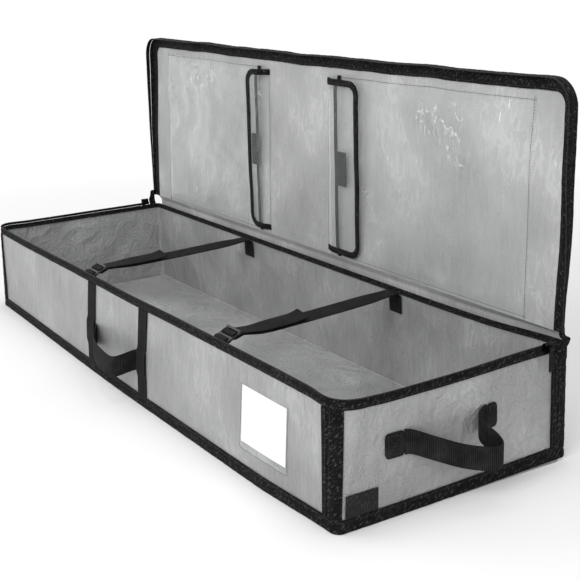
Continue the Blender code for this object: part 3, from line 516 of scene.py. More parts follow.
def bumpFrom(tree, shader, height):           # height in metres
    bump = node(tree, "ShaderNodeBump", Height=height, Distance=1.0, Strength=1.0)
    tree.links.new(bump.outputs["Normal"], shader.inputs["Normal"])


def mixColour(tree, factor, a, b):            # sockets 6, 7 and 2 are the colour ones
    return node(tree, "ShaderNodeMix", {"data_type": "RGBA"}, i0=factor, i6=a, i7=b).outputs[2]


def grey(value, tint=0.0):
    return (value * (1 - tint), value, value * (1 + tint), 1.0)


film = {"light": 0.60, "dark": 0.33, "threadPitch": 0.0021, "threadDepth": 0.00012}


def filmMaterial(name, stretch, scale, depth, level, streak=0.16):
    material, tree, shader = startMaterial(name, {"Coat Weight": 0.22, "Coat Roughness": 0.18, "IOR": 1.45})
    where = uvCoordinates(tree)
    weave = groupNode(tree, weaveGroup, Coordinates=where, Pitch_U=film["threadPitch"], Pitch_V=film["threadPitch"])
    crinkle = groupNode(tree, crinkleGroup, Coordinates=where, Scale=scale, Stretch=stretch)
    height = sums(tree, "MULTIPLY_ADD", crinkle.outputs["Height"], depth,
                  times(tree, weave.outputs["Height"], film["threadDepth"]))
    bumpFrom(tree, shader, height)
    drawn = node(tree, "ShaderNodeMapping", Vector=where, Scale=(1.0, 0.14, 1.0)).outputs[0]
    streaks = noise(tree, drawn, 170.0, 5.0, Roughness=0.62)          # pale streaks along the threads
    specks = noise(tree, where, 420.0, 2.0)
    cloud = spread(tree, crinkle.outputs["Clouds"], 0.3, 0.7, -0.34, 0.34)
    line = spread(tree, streaks, 0.3, 0.7, -streak, streak)
    thread = spread(tree, weave.outputs["Tone"], 0.0, 1.0, -0.14, 0.14)
    # crease tops painted lighter: a painted highlight along the film's creases
    creaseHighlight = times(tree, crinkle.outputs["Creases"], 0.7)
    tone = plus(tree, plus(tree, plus(tree, cloud, thread), plus(tree, creaseHighlight, line)), 0.46)
    tone = plus(tree, tone, spread(tree, specks, 0.35, 0.65, -0.10, 0.10))
    # level scales the whole film colour per panel: painted light, lighter or darker copies standing in for the light
    # each panel gets
    dark, light = (grey(film[key] * level, 0.006) for key in ("dark", "light"))
    colour = mixColour(tree, spread(tree, tone, 0.0, 1.0), dark, light)
    # near-white spots along the streaks in the cloudy patches: painted glints, standing in for specular sparkle on the
    # film
    paintedGlint = times(tree, spread(tree, streaks, 0.66, 0.72), spread(tree, crinkle.outputs["Clouds"], 0.52, 0.62))
    tree.links.new(mixColour(tree, paintedGlint, colour, (0.93, 0.94, 0.95, 1.0)), shader.inputs["Base Color"])
    tree.links.new(spread(tree, crinkle.outputs["Clouds"], 0.3, 0.7, 0.34, 0.5), shader.inputs["Roughness"])
    return material


def clothMaterial(name, dark, light, pitchU, pitchV, depth, roughness=0.82, diagonal=0.0):
    material, tree, shader = startMaterial(name, {"Specular IOR Level": 0.12})
    where = uvCoordinates(tree)
    if diagonal:
        where = node(tree, "ShaderNodeMapping", Vector=where, Rotation=(0.0, 0.0, diagonal)).outputs[0]
    weave = groupNode(tree, weaveGroup, Coordinates=where, Pitch_U=pitchU, Pitch_V=pitchV, Wander=0.25)
    lint = groupNode(tree, lintGroup, Coordinates=where, Scale=700.0)
    fuzz = times(tree, lint.outputs["Tone"], depth * 0.8)
    bumpFrom(tree, shader, sums(tree, "MULTIPLY_ADD", weave.outputs["Height"], depth, fuzz))
    tone = sums(tree, "MULTIPLY_ADD", weave.outputs["Tone"], 0.45, times(tree, lint.outputs["Tone"], 0.4))
    tone = plus(tree, tone, spread(tree, lint.outputs["Wear"], 0.35, 0.7, -0.2, 0.2))
    tone = times(tree, sums(tree, "POWER", spread(tree, tone, 0.15, 0.85), 2.2), 0.4)
    drawn = node(tree, "ShaderNodeMapping", Vector=where, Scale=(1.0, 0.45, 1.0)).outputs[0]
    # pale specks on the thread tops: a painted highlight, where light catches the fibres
    tone = plus(tree, tone, spread(tree, noise(tree, drawn, 430.0, 1.0), 0.54, 0.72))      # pale thread tops
    tree.links.new(mixColour(tree, tone, grey(dark, 0.02), grey(light, 0.02)), shader.inputs["Base Color"])
    rough = spread(tree, weave.outputs["Tone"], 0, 1, roughness - 0.08, roughness + 0.06)
    tree.links.new(rough, shader.inputs["Roughness"])
    return material


# webbing: ribs across and a chain of weave lengthwise
def ribMaterial(name, dark, light, ribPitch, depth):
    material, tree, shader = startMaterial(name, {"Roughness": 0.82, "Specular IOR Level": 0.12})
    where = uvCoordinates(tree)
    weave = groupNode(tree, weaveGroup, Coordinates=where, Pitch_U=ribPitch * 2, Pitch_V=ribPitch * 1.3, Wander=0.12)
    split = node(tree, "ShaderNodeSeparateXYZ", i0=where)
    lint = groupNode(tree, lintGroup, Coordinates=where, Scale=800.0)
    stray = times(tree, lint.outputs["Wear"], 0.5)
    turns = plus(tree, times(tree, split.outputs["X"], math.pi / ribPitch), stray)
    rib = sums(tree, "ABSOLUTE", sums(tree, "SINE", turns))
    height = sums(tree, "MULTIPLY_ADD", rib, depth, times(tree, weave.outputs["Height"], depth * 0.3))
    bumpFrom(tree, shader, height)
    tone = sums(tree, "MULTIPLY_ADD", rib, 0.55, times(tree, lint.outputs["Tone"], 0.4))
    tone = plus(tree, tone, spread(tree, lint.outputs["Wear"], 0.35, 0.7, -0.2, 0.2))
    tone = sums(tree, "POWER", spread(tree, tone, 0.15, 0.95), 1.8)
    tree.links.new(mixColour(tree, tone, grey(dark, 0.01), grey(light, 0.01)), shader.inputs["Base Color"])
    return material


def clearMaterial(name):
    material, tree, shader = startMaterial(name, {"Roughness": 0.1, "IOR": 1.5, "Base Color": (0.93, 0.95, 0.96, 1.0),
                                                  "Coat Weight": 0.5, "Coat Roughness": 0.05})
    where = uvCoordinates(tree)
    crinkle = groupNode(tree, crinkleGroup, Coordinates=where, Scale=17.0, Stretch=0.6)
    bumpFrom(tree, shader, times(tree, crinkle.outputs["Height"], 0.0012))
    rimLight = node(tree, "ShaderNodeLayerWeight", Blend=0.5)
    bright = spread(tree, rimLight.outputs["Facing"], 0.5, 1.0, 0.05, 0.5)
    # the crease tops make the near-white film more opaque: painted bright streaks, standing in for glints on the clear
    # film
    alpha = sums(tree, "MAXIMUM", bright, spread(tree, crinkle.outputs["Creases"], 0.4, 1.0, 0.0, 0.45))
    tree.links.new(alpha, shader.inputs["Alpha"])
    return material


def plainMaterial(name, colour, values, grainScale, grainDepth, contrast=0.12):
    material, tree, shader = startMaterial(name, values)
    where = node(tree, "ShaderNodeTexCoord").outputs["Object"]
    lint = groupNode(tree, lintGroup, Coordinates=where, Scale=grainScale)
    bumpFrom(tree, shader, times(tree, lint.outputs["Tone"], grainDepth))
    low, high = [tuple(c * (1 + s) for c in colour) + (1.0,) for s in (-contrast, contrast)]
    worn = spread(tree, lint.outputs["Wear"], 0.3, 0.7)
    tree.links.new(mixColour(tree, worn, low, high), shader.inputs["Base Color"])
    rough = values["Roughness"]
    rough = spread(tree, lint.outputs["Wear"], 0.3, 0.7, rough - 0.06, rough + 0.08)
    tree.links.new(rough, shader.inputs["Roughness"])
    return material


# one grey film in three copies: the lid painted lighter (0.90), the end walls at 0.76 and the front and back at 0.70,
# painted light for each panel's lighting; they also differ in crinkle and streaks
wallFilm = filmMaterial("wallFilm", 0.42, 22.0, 0.0013, 0.70)
lidFilm = filmMaterial("lidFilm", 0.45, 18.0, 0.0010, 0.90, 0.10)
endFilm = filmMaterial("endFilm", 1.0, 18.0, 0.0018, 0.76, 0.12)
tapeCloth = clothMaterial("tapeCloth", 0.0018, 0.052, 0.0023, 0.0023, 0.00022, diagonal=math.radians(45))
webCloth = ribMaterial("webCloth", 0.0020, 0.042, 0.0021, 0.00060)
strapCloth = ribMaterial("strapCloth", 0.005, 0.022, 0.0016, 0.00012)
tagCloth = clothMaterial("tagCloth", 0.018, 0.050, 0.0012, 0.0015, 0.00010)
padCloth = clothMaterial("padCloth", 0.003, 0.030, 0.0019, 0.0017, 0.0003, roughness=0.9)
clearFilm = clearMaterial("clearFilm")
cardPaper = plainMaterial("cardPaper", (0.97, 0.97, 0.965), {"Roughness": 0.65}, 420.0, 0.000015, 0.02)
blackPlastic = plainMaterial("blackPlastic", (0.012, 0.012, 0.013), {"Roughness": 0.30}, 900.0, 0.00002)
darkMetal = plainMaterial("darkMetal", (0.016, 0.016, 0.018), {"Roughness": 0.34, "Metallic": 1.0}, 700.0, 0.00001, 0.2)
coilNylon = plainMaterial("coilNylon", (0.008, 0.008, 0.009), {"Roughness": 0.5}, 900.0, 0.00001)
threadCloth = plainMaterial("threadCloth", (0.020, 0.020, 0.021), {"Roughness": 0.7}, 2500.0, 0.00003, 0.25)
print("materials ready")

seams = {"tray": [], "lid": [], "flap_left": [], "flap_right": []}      # stitched lines, by body


def dress(obj, body, cadNode):
    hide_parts(cadNode)
    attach(obj, body)


# tray panels
panels = {"spacing": 0.0042, "rows": 30, "thickness": 0.0006, "crease": 0.00055, "fold": 0.0016, "lockFold": 0.0006,
          "cardX": 0.378, "cardZ": 0.068, "tagZ": 0.028}


def lockFolds(x, z):                          # tension folds that fan out below the two locks
    total = np.zeros(np.broadcast(x, z).shape)
    for spot in lockSpots:
        dx, dz = x - spot, boxH - 0.012 - z
        distance = np.hypot(dx, dz)
        angle = np.arctan2(dx, np.maximum(dz, 1e-4))
        fan = 1 - 2 * np.abs(((angle * 2.1 + 0.3) % 1) * 2 - 1)
        total = total + fan * fade(distance, 0.008, 0.03) * (1 - fade(distance, 0.03, 0.11))
    return total


def makeWall(name, node, first, second, material, seed, folds=False):
    stations = halfRing(first, second, panels["spacing"])
    low = bag["panel"] + gap
    zs = np.linspace(low, wallTop, panels["rows"])
    grid = np.array([stationRow(s, zs, 0.0) for s in stations])
    out = np.array([stationOut(s) for s in stations])[:, None, :]
    us = lengths(grid[:, len(zs) // 2, :])
    u, v = us[:, None], zs[None, :]
    edge = np.minimum(u, us[-1] - u)
    mask = fade(edge, 0.010, 0.030) * fade(v, bag["floorBand"], bag["floorBand"] + 0.012) * (1 - fade(v, 0.108, 0.122))
    lift = creases(u, v * 0.7, seed, 0.055, 0.5) * panels["crease"]
    lift = lift + creases(u, v * 0.4, seed + 1, 0.16, 0.35, 5) * panels["fold"] * 0.5
    x, y, z = grid[..., 0], grid[..., 1], grid[..., 2]
    if folds:                                 # calm under the card and the bands
        lift = lift + lockFolds(x, z) * panels["lockFold"]
        card = 1 - fade(np.abs(x - panels["cardX"]), 0.050, 0.062)
        card = card * (1 - fade(np.abs(z - panels["cardZ"]), 0.040, 0.050))
        bands = sum(1 - fade(np.abs(x - spot), 0.014, 0.022) for spot in bandSpots.values())
        mask = mask * (1 - card) * (1 - bands)
    if first in ("frontRight", "backLeft"):   # calm under the handles' ends and the tag
        tacks = sum(1 - fade(np.hypot(y - spot, (z - endTackZ) * 0.9), 0.018, 0.030) for spot in endTacks)
        tag = 1 - fade(np.hypot(y - tagY, z - panels["tagZ"]), 0.024, 0.034)
        mask = mask * np.clip(1 - tacks - tag, 0, 1)
    outer = grid + out * (lift * mask)[..., None]
    inner = outer - out * panels["thickness"]
    obj = shell(name, traySoft(outer), traySoft(inner), us, zs, material)
    dress(obj, "tray", node)


def makeFloor():
    xs = np.linspace(-halfL + 0.0015, halfL - 0.0015, 190)
    ys = np.linspace(-halfW + 0.0015, halfW - 0.0015, 60)
    x, y = netOf(xs, ys)
    overX, overY = (np.abs(x) - halfL + 0.010).clip(0), (np.abs(y) - halfW + 0.010).clip(0)
    corner = np.clip(np.hypot(overX, overY) / 0.0085, 1, None)        # square corner to round
    pull = 1 / corner
    x = np.where(corner > 1, np.sign(x) * (halfL - 0.010 + overX * pull), x)
    y = np.where(corner > 1, np.sign(y) * (halfW - 0.010 + overY * pull), y)
    inside = fade(halfL - np.abs(x), 0.003, 0.05) * fade(halfW - np.abs(y), 0.003, 0.05)
    lift = 0.0002 + inside * 0.0008 * (1 + creases(x, y, 61, 0.10, 1.2, 6) * 0.6)
    low = np.stack([x, y, lift.clip(0.0001)], -1)
    high = low + np.array([0, 0, bag["panel"] * 0.6])
    obj = shell("floor_sheet", high, low, xs, ys, endFilm)
    dress(obj, "tray", "floor_panel")


makeWall("front_wall", "front_panel", "frontLeft", "frontRight", wallFilm, 41, folds=True)
makeWall("right_wall", "right_panel", "frontRight", "backRight", endFilm, 43)
makeWall("back_wall", "back_panel", "backRight", "backLeft", wallFilm, 45)
makeWall("left_wall", "left_panel", "backLeft", "frontLeft", endFilm, 47)
makeFloor()
print("tray panels made")

# bindings
binding = {"spacing": 0.0045, "section": 0.0014, "pucker": 0.00028, "groove": 0.00030, "lift": 0.00022,
           "stitchIn": 0.0022}


# carries a soft section round the bag; grooves are the section places where thread pulls the tape in
def sweep(name, stations, profile, seed, closed=False, mapping=None, shape=traySoft, grooves=()):
    profile = np.array(profile, float)
    for place, inward in grooves:
        near = np.exp(-(np.linalg.norm(profile - np.array(place), axis=1) / 0.0011) ** 2)
        profile = profile + near[:, None] * np.array(inward) * binding["groove"]
    rings = np.array([stationRow(s, profile[:, 1], profile[:, 0]) for s in stations])
    us = lengths(rings[:, 0, :])
    if closed:
        us = np.append(us, us[-1] + np.linalg.norm(rings[0, 0] - rings[-1, 0]))
    out = np.array([stationOut(s) for s in stations])[:, None, :]
    run = us[:len(stations), None]
    wander = drift(run, seed, 0.017, 2) * 0.5 + drift(run, seed + 1, 0.06, 2) * 0.5
    if closed:
        wander = wander * fade(np.minimum(run, us[-1] - run), 0.0, 0.03)
    side = np.sign(profile[:, 0] + bag["panel"] / 2)[None, :]
    rings = rings + out * (wander * side * binding["pucker"])[..., None]
    if mapping:
        rings = mapping(rings)
    return tube(name, shape(rings), us, wrapLengths(profile), tapeCloth, closed)


def seamLine(body, stations, offset, z, mapping=None, shape=traySoft, closed=False):
    line = np.array([stationRow(s, np.array([z]), offset)[0] for s in stations])
    if closed:
        line = np.concatenate([line, line[:1]])
    if mapping:
        line = mapping(line)
    seams[body].append(shape(line))


def makeTrayBindings():
    t, step = bag["tape"], binding["section"]
    ring = fullRing(binding["spacing"])
    band = bag["floorBand"]
    section = [(gap, gap), (outFace - 0.0002, gap), (outFace + 0.0002, 0.0016), (outFace, band), (gap, band)]
    grooves = [((outFace, band - 0.0032), (-1, 0)), ((outFace, band * 0.58), (-2.6, 0))]
    obj = sweep("bottom_tape", ring, softProfile(section, step * 0.7, 1), 11, True, grooves=grooves)
    dress(obj, "tray", "bottom_binding")
    seamLine("tray", ring, outFace - 0.00012, band - 0.0032, closed=True)

    low = rimTop - bag["rimLeg"]
    section = [(gap, low), (outFace, low), (outFace, rimTop - 0.0004), (outFace - 0.0005, rimTop),
               (inFace + 0.0005, rimTop), (inFace, rimTop - 0.0004), (inFace, low), (-bag["panel"] - gap, low),
               (-bag["panel"] - gap, rimTop - t), (gap, rimTop - t)]
    sewn = low + binding["stitchIn"]
    obj = sweep("rim_tape", ring, softProfile(section, 0.001, 1), 13, True,
                grooves=[((outFace, sewn), (-1, 0)), ((inFace, sewn), (1, 0))])
    dress(obj, "tray", "rim_binding")
    seamLine("tray", ring, outFace - 0.00012, sewn, closed=True)
    seamLine("tray", ring, inFace + 0.00012, sewn, closed=True)

    # upright tapes: a stitched band, a groove and a flat band, wide on the front wall or on the end wall
    zs = np.linspace(band + gap, low - gap, 34)
    wide, narrow = bag["wideLeg"], bag["narrowLeg"]
    legs = {"frontLeft": (narrow, wide), "frontRight": (wide, narrow),
            "backRight": (wide, narrow), "backLeft": (narrow, wide)}
    for corner, (before, after) in legs.items():
        name = corner.replace("L", "_l").replace("R", "_r")
        sx, sy = cornerSigns[corner]
        places = np.linspace(-before, after, 34)
        inside = max(before, after) - abs(places)
        onWide = (places < 0) if before > after else (places > 0)
        relief = np.where(onWide, 0.0006 * (1 - fade(inside, 0.0062, 0.0078)), 0.0)
        relief = relief - np.where(onWide, 0.0004 * np.exp(-((inside - 0.0082) / 0.0007) ** 2), 0.0)
        rows = []
        for z in zs:
            arc = float(cornerRadius(corner, np.array(z))) * math.pi / 4
            ring = []
            for offset in (outFace + relief, np.full(len(places), gap)):
                row = []
                for place, lift in zip(places, offset):
                    share = float(np.clip(place / arc, -1, 1))
                    angle = math.atan2(sy, sx) + share * math.pi / 4
                    along = np.array([-math.sin(angle), math.cos(angle), 0])
                    row.append(arcPoint(corner, share, np.array(z), np.array(lift)) + along * (place - share * arc))
                ring += row if not ring else row[::-1]
            rows.append(ring)
        rings = np.array(rows)
        half = len(places)
        outward = unit(np.array([sx, sy, 0.0]))
        wander = drift(zs, 70 + len(name), 0.016, 3)[:, None] * np.ones(half)[None, :]
        rings[:, :half] += outward * (wander * binding["lift"])[..., None]
        obj = tube("corner_tape_" + name, traySoft(rings), zs - zs[0], wrapLengths(rings[0]), tapeCloth)
        dress(obj, "tray", "corner_binding_" + name)
        for distance in (0.0018, 0.0052, 0.0108):
            column = int(np.argmin(abs(inside - distance) + np.where(onWide, 0, 1)))
            seams["tray"].append(traySoft(rings[1:-1, column, :]))


makeTrayBindings()
print("bindings made")

# zipper halves
zipper = {"tape": 0.0006, "halfGap": 0.0010, "toothPitch": 0.00135, "toothRadius": 0.0009, "toothLength": 0.00092}


def makeZipHalves():
    stations = zipRing(binding["spacing"])
    for name, cadNode, base, edge, mapping, body, shape in (
            ("tray_zip_tape", "tray_zipper", rimTop + gap, boxH - zipper["halfGap"], None, "tray", traySoft),
            ("lid_zip_tape", "lid_zipper", boxH + bag["zip"], boxH + zipper["halfGap"], openLid, "lid", lidSoft)):
        near, far = gap + 0.0001, gap + 0.0001 + zipper["tape"]
        top = edge - math.copysign(0.0006, edge - base)
        profile = softProfile([(near, base), (far, base), (far, top), (near, top)], 0.0014, 0)
        obj = sweep(name, stations, profile, 23, mapping=mapping, shape=shape)
        dress(obj, body, cadNode)
        height = np.array([edge - math.copysign(0.0009, edge - base)])
        line = np.array([stationRow(s, height, (near + far) / 2)[0] for s in stations])
        if mapping:
            line = mapping(line)
        zipLines[body] = shape(line)


zipLines = {}
makeZipHalves()

# lid
lidSet = {"columns": 210, "rows": 66, "thickness": 0.0006, "crease": 0.0005, "fold": 0.0013, "hem": 0.0235}


def makeLid():
    back = halfW - bag["lidInset"]
    xs = np.linspace(-halfL, halfL, lidSet["columns"])
    ys = np.linspace(-halfW, back, lidSet["rows"])
    x, y = netOf(xs, ys)
    radius = bag["rimRadius"]
    dx, dy = np.maximum(np.abs(x) - halfL + radius, 0), np.maximum(-halfW + radius - y, 0)
    reach = np.hypot(dx, dy)
    larger = np.maximum(dx, dy)
    pull = np.where(reach > 1e-9, larger / np.maximum(reach, 1e-9), 1.0)      # square corner to round
    x = np.where(dx * dy > 0, np.sign(x) * (halfL - radius + dx * pull), x)
    y = np.where(dx * dy > 0, -halfW + radius - dy * pull, y)
    v = hingeY - y
    edge = np.minimum(np.minimum(halfL - np.abs(x), y + halfW), (back - y) * 0.8 + 0.004)
    mask = fade(edge, 0.014, 0.035)
    lift = creases(x, v * 0.6, 81, 0.07, 0.7) * lidSet["crease"]
    lift = lift + creases(x, v * 0.5, 82, 0.2, 0.6, 5) * lidSet["fold"] * 0.6
    for span in pocketSpans.values():         # calm under the pockets
        low, high = sorted(span)
        under = fade(x, low - 0.02, low) * (1 - fade(x, high, high + 0.02))
        under = under * fade(v, 0.0, 0.012) * (1 - fade(v, 0.268, 0.28))
        mask = mask * (1 - under * 0.9)
    ridge = np.exp(-((v - lidSet["hem"]) / 0.0012) ** 2) * 0.0005 * fade(halfL - np.abs(x), 0.014, 0.02)
    z0 = lidInner - lift * mask * 0.7 - ridge
    inner = np.stack([x, y, z0], -1)
    outer = np.stack([x, y, z0 + lidSet["thickness"]], -1)
    obj = shell("lid_sheet", lidSoft(openLid(outer)), lidSoft(openLid(inner)), xs, ys, lidFilm)
    dress(obj, "lid", "lid_panel")

    low = boxH + bag["zip"] + gap
    top = lidInner + bag["panel"] + gap + bag["tape"]
    inner = lidInner - gap
    t = bag["tape"]
    outerEdge, innerEdge = -bag["lidOuter"], -bag["lidInner"]
    corners = [(outFace, low), (outFace, top - 0.0005), (outFace - 0.0006, top), (outerEdge, top), (outerEdge, top - t),
               (gap, top - t), (gap, inner), (innerEdge, inner), (innerEdge, inner - t), (gap, inner - t), (gap, low)]
    stations = zipRing(binding["spacing"])
    innerSeam, outerSeam, skirtSeam = innerEdge + 0.003, outerEdge + 0.0025, low + 0.002
    grooves = [((innerSeam, inner - t), (0, 1)), ((outerSeam, top), (0, -1)), ((outFace, skirtSeam), (-1, 0))]
    section = softProfile(corners, 0.0013, 1)
    obj = sweep("lid_tape", stations, section, 31, mapping=openLid, shape=lidSoft, grooves=grooves)
    dress(obj, "lid", "lid_binding")
    for offset, z in ((innerSeam, inner - t + 0.00012), (outerSeam, top - 0.00012), (outFace - 0.00012, skirtSeam)):
        seamLine("lid", stations, offset, z, openLid, lidSoft)


def hingeBend(obj):                           # bakes the transform into the mesh; the turn from the tray to the lid over 10 mm at the hinge line is made where the faces are built
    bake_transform(obj)


def makeHinge():
    t = bag["tape"]
    wallSide = halfW + outFace + gap + t / 2
    lidSide = hingeY + bag["skirt"] + gap + t / 2
    sill = boxH + bag["lidInset"] - bag["hingeIn"]
    points = [(wallSide, boxH - 0.018), (wallSide, boxH - 0.006), (wallSide, boxH),
              (lidSide, sill - t), (lidSide, sill + 0.006), (lidSide, sill + 0.012)]
    path = evenPath(smoothPath([(0.0, y, z) for y, z in points], 6), 0.0016)
    half = halfL - 0.0105
    xs = np.linspace(-half, half, 230)
    run = unit(np.gradient(path, axis=0))
    normal = np.stack([np.zeros(len(path)), run[:, 2], -run[:, 1]], -1)
    ends = np.minimum(np.arange(len(path)), np.arange(len(path))[::-1]) / 6.0
    wave = drift(xs, 91, 0.04, 3)[:, None] * 0.0004 * np.clip(ends, 0.3, 1)[None, :]
    middle = path[None] + np.stack([xs, 0 * xs, 0 * xs], -1)[:, None, :] + normal[None] * wave[..., None]
    upper = fade(middle[..., 2], boxH, sill)[..., None]
    faces = []
    for side in (0.5, -0.5):
        face = middle + normal * t * side
        faces.append(traySoft(face) * (1 - upper) + lidSoft(face) * upper)
    obj = shell("hinge_sheet", faces[0], faces[1], xs, lengths(path), lidFilm)
    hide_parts("hinge_tape")
    hingeBend(obj)
    for body, z, y, shape in (("tray", boxH - 0.015, wallSide, traySoft), ("lid", sill + 0.009, lidSide, lidSoft)):
        line = np.stack([xs[2:-2], 0 * xs[2:-2] + y + t / 2 + 0.0001, 0 * xs[2:-2] + z], -1)
        seams[body].append(shape(line))


makeLid()
makeHinge()
print("lid made")

# clear pockets and their flaps
pocket = {"low": 0.0125, "high": 0.268, "depth": 0.0055, "hem": 0.004, "slope": 0.012, "setback": 0.025,
          "edge": 0.0075, "rise": 0.018, "bend": 0.020, "corner": 0.021, "margin": 0.004, "tape": 0.0090,
          "tapeThick": 0.0006, "padHigh": 0.048, "padThick": 0.0007, "padInset": 0.0016, "padRound": 0.0015}
flapReach = {"left": 0.054, "right": 0.083}
padWidth = {"left": 0.0115, "right": 0.018}


def pocketLift(x, v, end):                    # how far the film stands off the lid
    hem, slope = pocket["hem"], pocket["slope"]
    low, high = pocket["low"] + hem, pocket["high"] - hem
    side = fade(np.abs(end - x), hem, hem + slope)
    rows = fade(v, low, low + slope) * (1 - fade(v, pocket["high"] - hem - slope, high))
    return gap + (pocket["depth"] - gap) * np.minimum(side, rows)


def makePocket(side):
    root, end = pocketSpans[side]
    out = math.copysign(1.0, end - root)
    mouth = root + out * pocket["setback"]
    xs = np.linspace(mouth, end, 110)
    vs = np.linspace(pocket["low"], pocket["high"], 80)
    x, v = netOf(xs, vs)
    lift = pocketLift(x, v, end)
    loose = fade(lift, gap * 2, pocket["depth"]) * fade(np.abs(x - mouth), 0.03, 0.06)
    crumple = creases(x * 0.8, v, 101 + int(out), 0.06, 1.2) * 0.0009
    crumple = crumple + creases(x, v, 103 + int(out), 0.16, 1.4, 5) * 0.0014
    lift = lift + loose * crumple
    low, high = lidPoint(x, v, lift), lidPoint(x, v, lift + bag["film"] * 0.6)
    obj = shell("pocket_film_" + side, lidSoft(high), lidSoft(low), xs, vs, clearFilm)
    dress(obj, "lid", "pocket_" + side)
    for lineX, lineV in ((xs[4:], pocket["low"] + 0.002), (xs[4:], pocket["high"] - 0.002), (end - out * 0.002, vs)):
        seams["lid"].append(lidSoft(lidPoint(lineX, lineV, gap + bag["film"])))

    # the bound mouth, its tape folded over the film
    ride = gap + bag["film"]
    ev = np.linspace(pocket["low"], pocket["high"], 90)
    base = pocketLift(np.full_like(ev, mouth), ev, end) + ride
    edge, t = pocket["edge"], bag["tape"]
    section = softProfile([(-0.0004, 0.0), (-0.0004, t), (edge, t), (edge, 0.0)], 0.0012, 1)
    rings = np.array([lidPoint(mouth + out * section[:, 0], h, b + section[:, 1]) for h, b in zip(ev, base)])
    obj = tube("pocket_tape_" + side, lidSoft(rings), ev, wrapLengths(section), tapeCloth)
    dress(obj, "lid", "pocket_edge_" + side)
    seams["lid"].append(lidSoft(lidPoint(mouth + out * 0.0042, ev, base + t))[2:-2])

    filmTop = pocket["depth"] + bag["film"]
    loopLow = filmTop + gap
    hookLow = loopLow + pocket["padThick"] + gap
    flapLow = hookLow + pocket["padThick"] + gap
    padStart = mouth + out * (pocket["edge"] + gap * 2)
    middle = (pocket["low"] + pocket["high"]) / 2
    makePad("loop", side, padStart, out, middle, loopLow, "lid")
    makePad("hook", side, padStart, out, middle, hookLow, "flap_" + side)
    makeFlap(side, root, out, flapLow)


def makePad(kind, side, start, out, middle, low, body):
    w, h, inset = padWidth[side], pocket["padHigh"], pocket["padInset"]
    xs, vs = np.linspace(0, w, 15), np.linspace(-h / 2, h / 2, 31)
    x, v = netOf(xs, vs)
    edge = np.minimum(np.minimum(x, w - x), h / 2 - np.abs(v))
    puff = pocket["padThick"] * (0.35 + 0.65 * fade(edge, 0, pocket["padRound"]))
    lowFace, highFace = (lidSoft(lidPoint(start + out * x, middle + v, lift)) for lift in (low, low + puff))
    obj = shell(kind + "_patch_" + side, highFace, lowFace, xs, vs, padCloth)
    dress(obj, body, kind + "_pad_" + side)
    near, far, top = inset, w - inset, h / 2 - inset
    box = [(near, -top), (far, -top), (far, top), (near, top), (near, -top)]
    line = evenPath(np.array(box, float), 0.003)
    seams[body].append(lidSoft(lidPoint(start + out * line[:, 0], middle + line[:, 1], low + pocket["padThick"])))


def flapLift(d, low):
    share = fade(d, 0, pocket["rise"])
    return gap + (low - gap) * share


def flapTrack(reach, inset):                  # the flap's free outline as distance from the root and height
    far, radius = reach - inset, pocket["corner"] - inset
    low, high = pocket["low"] + pocket["margin"] + inset, pocket["high"] - pocket["margin"] - inset
    points = [(d, low) for d in np.linspace(0, far - radius, 14)[:-1]]
    for centre, first in ((low + radius, -90), (high - radius, 0)):
        for k in range(9):
            angle = math.radians(first + 90 * k / 8)
            points.append((far - radius + radius * math.cos(angle), centre + radius * math.sin(angle)))
        if first == -90:
            points += [(far, v) for v in np.linspace(low + radius, high - radius, 52)[1:-1]]
    points += [(d, high) for d in np.linspace(far - radius, 0, 14)[1:]]
    return np.array(points)


def rootBend(obj):     # bakes the transform into the mesh; the flap's soft turn out of its sewn edge comes from flapLift
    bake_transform(obj)


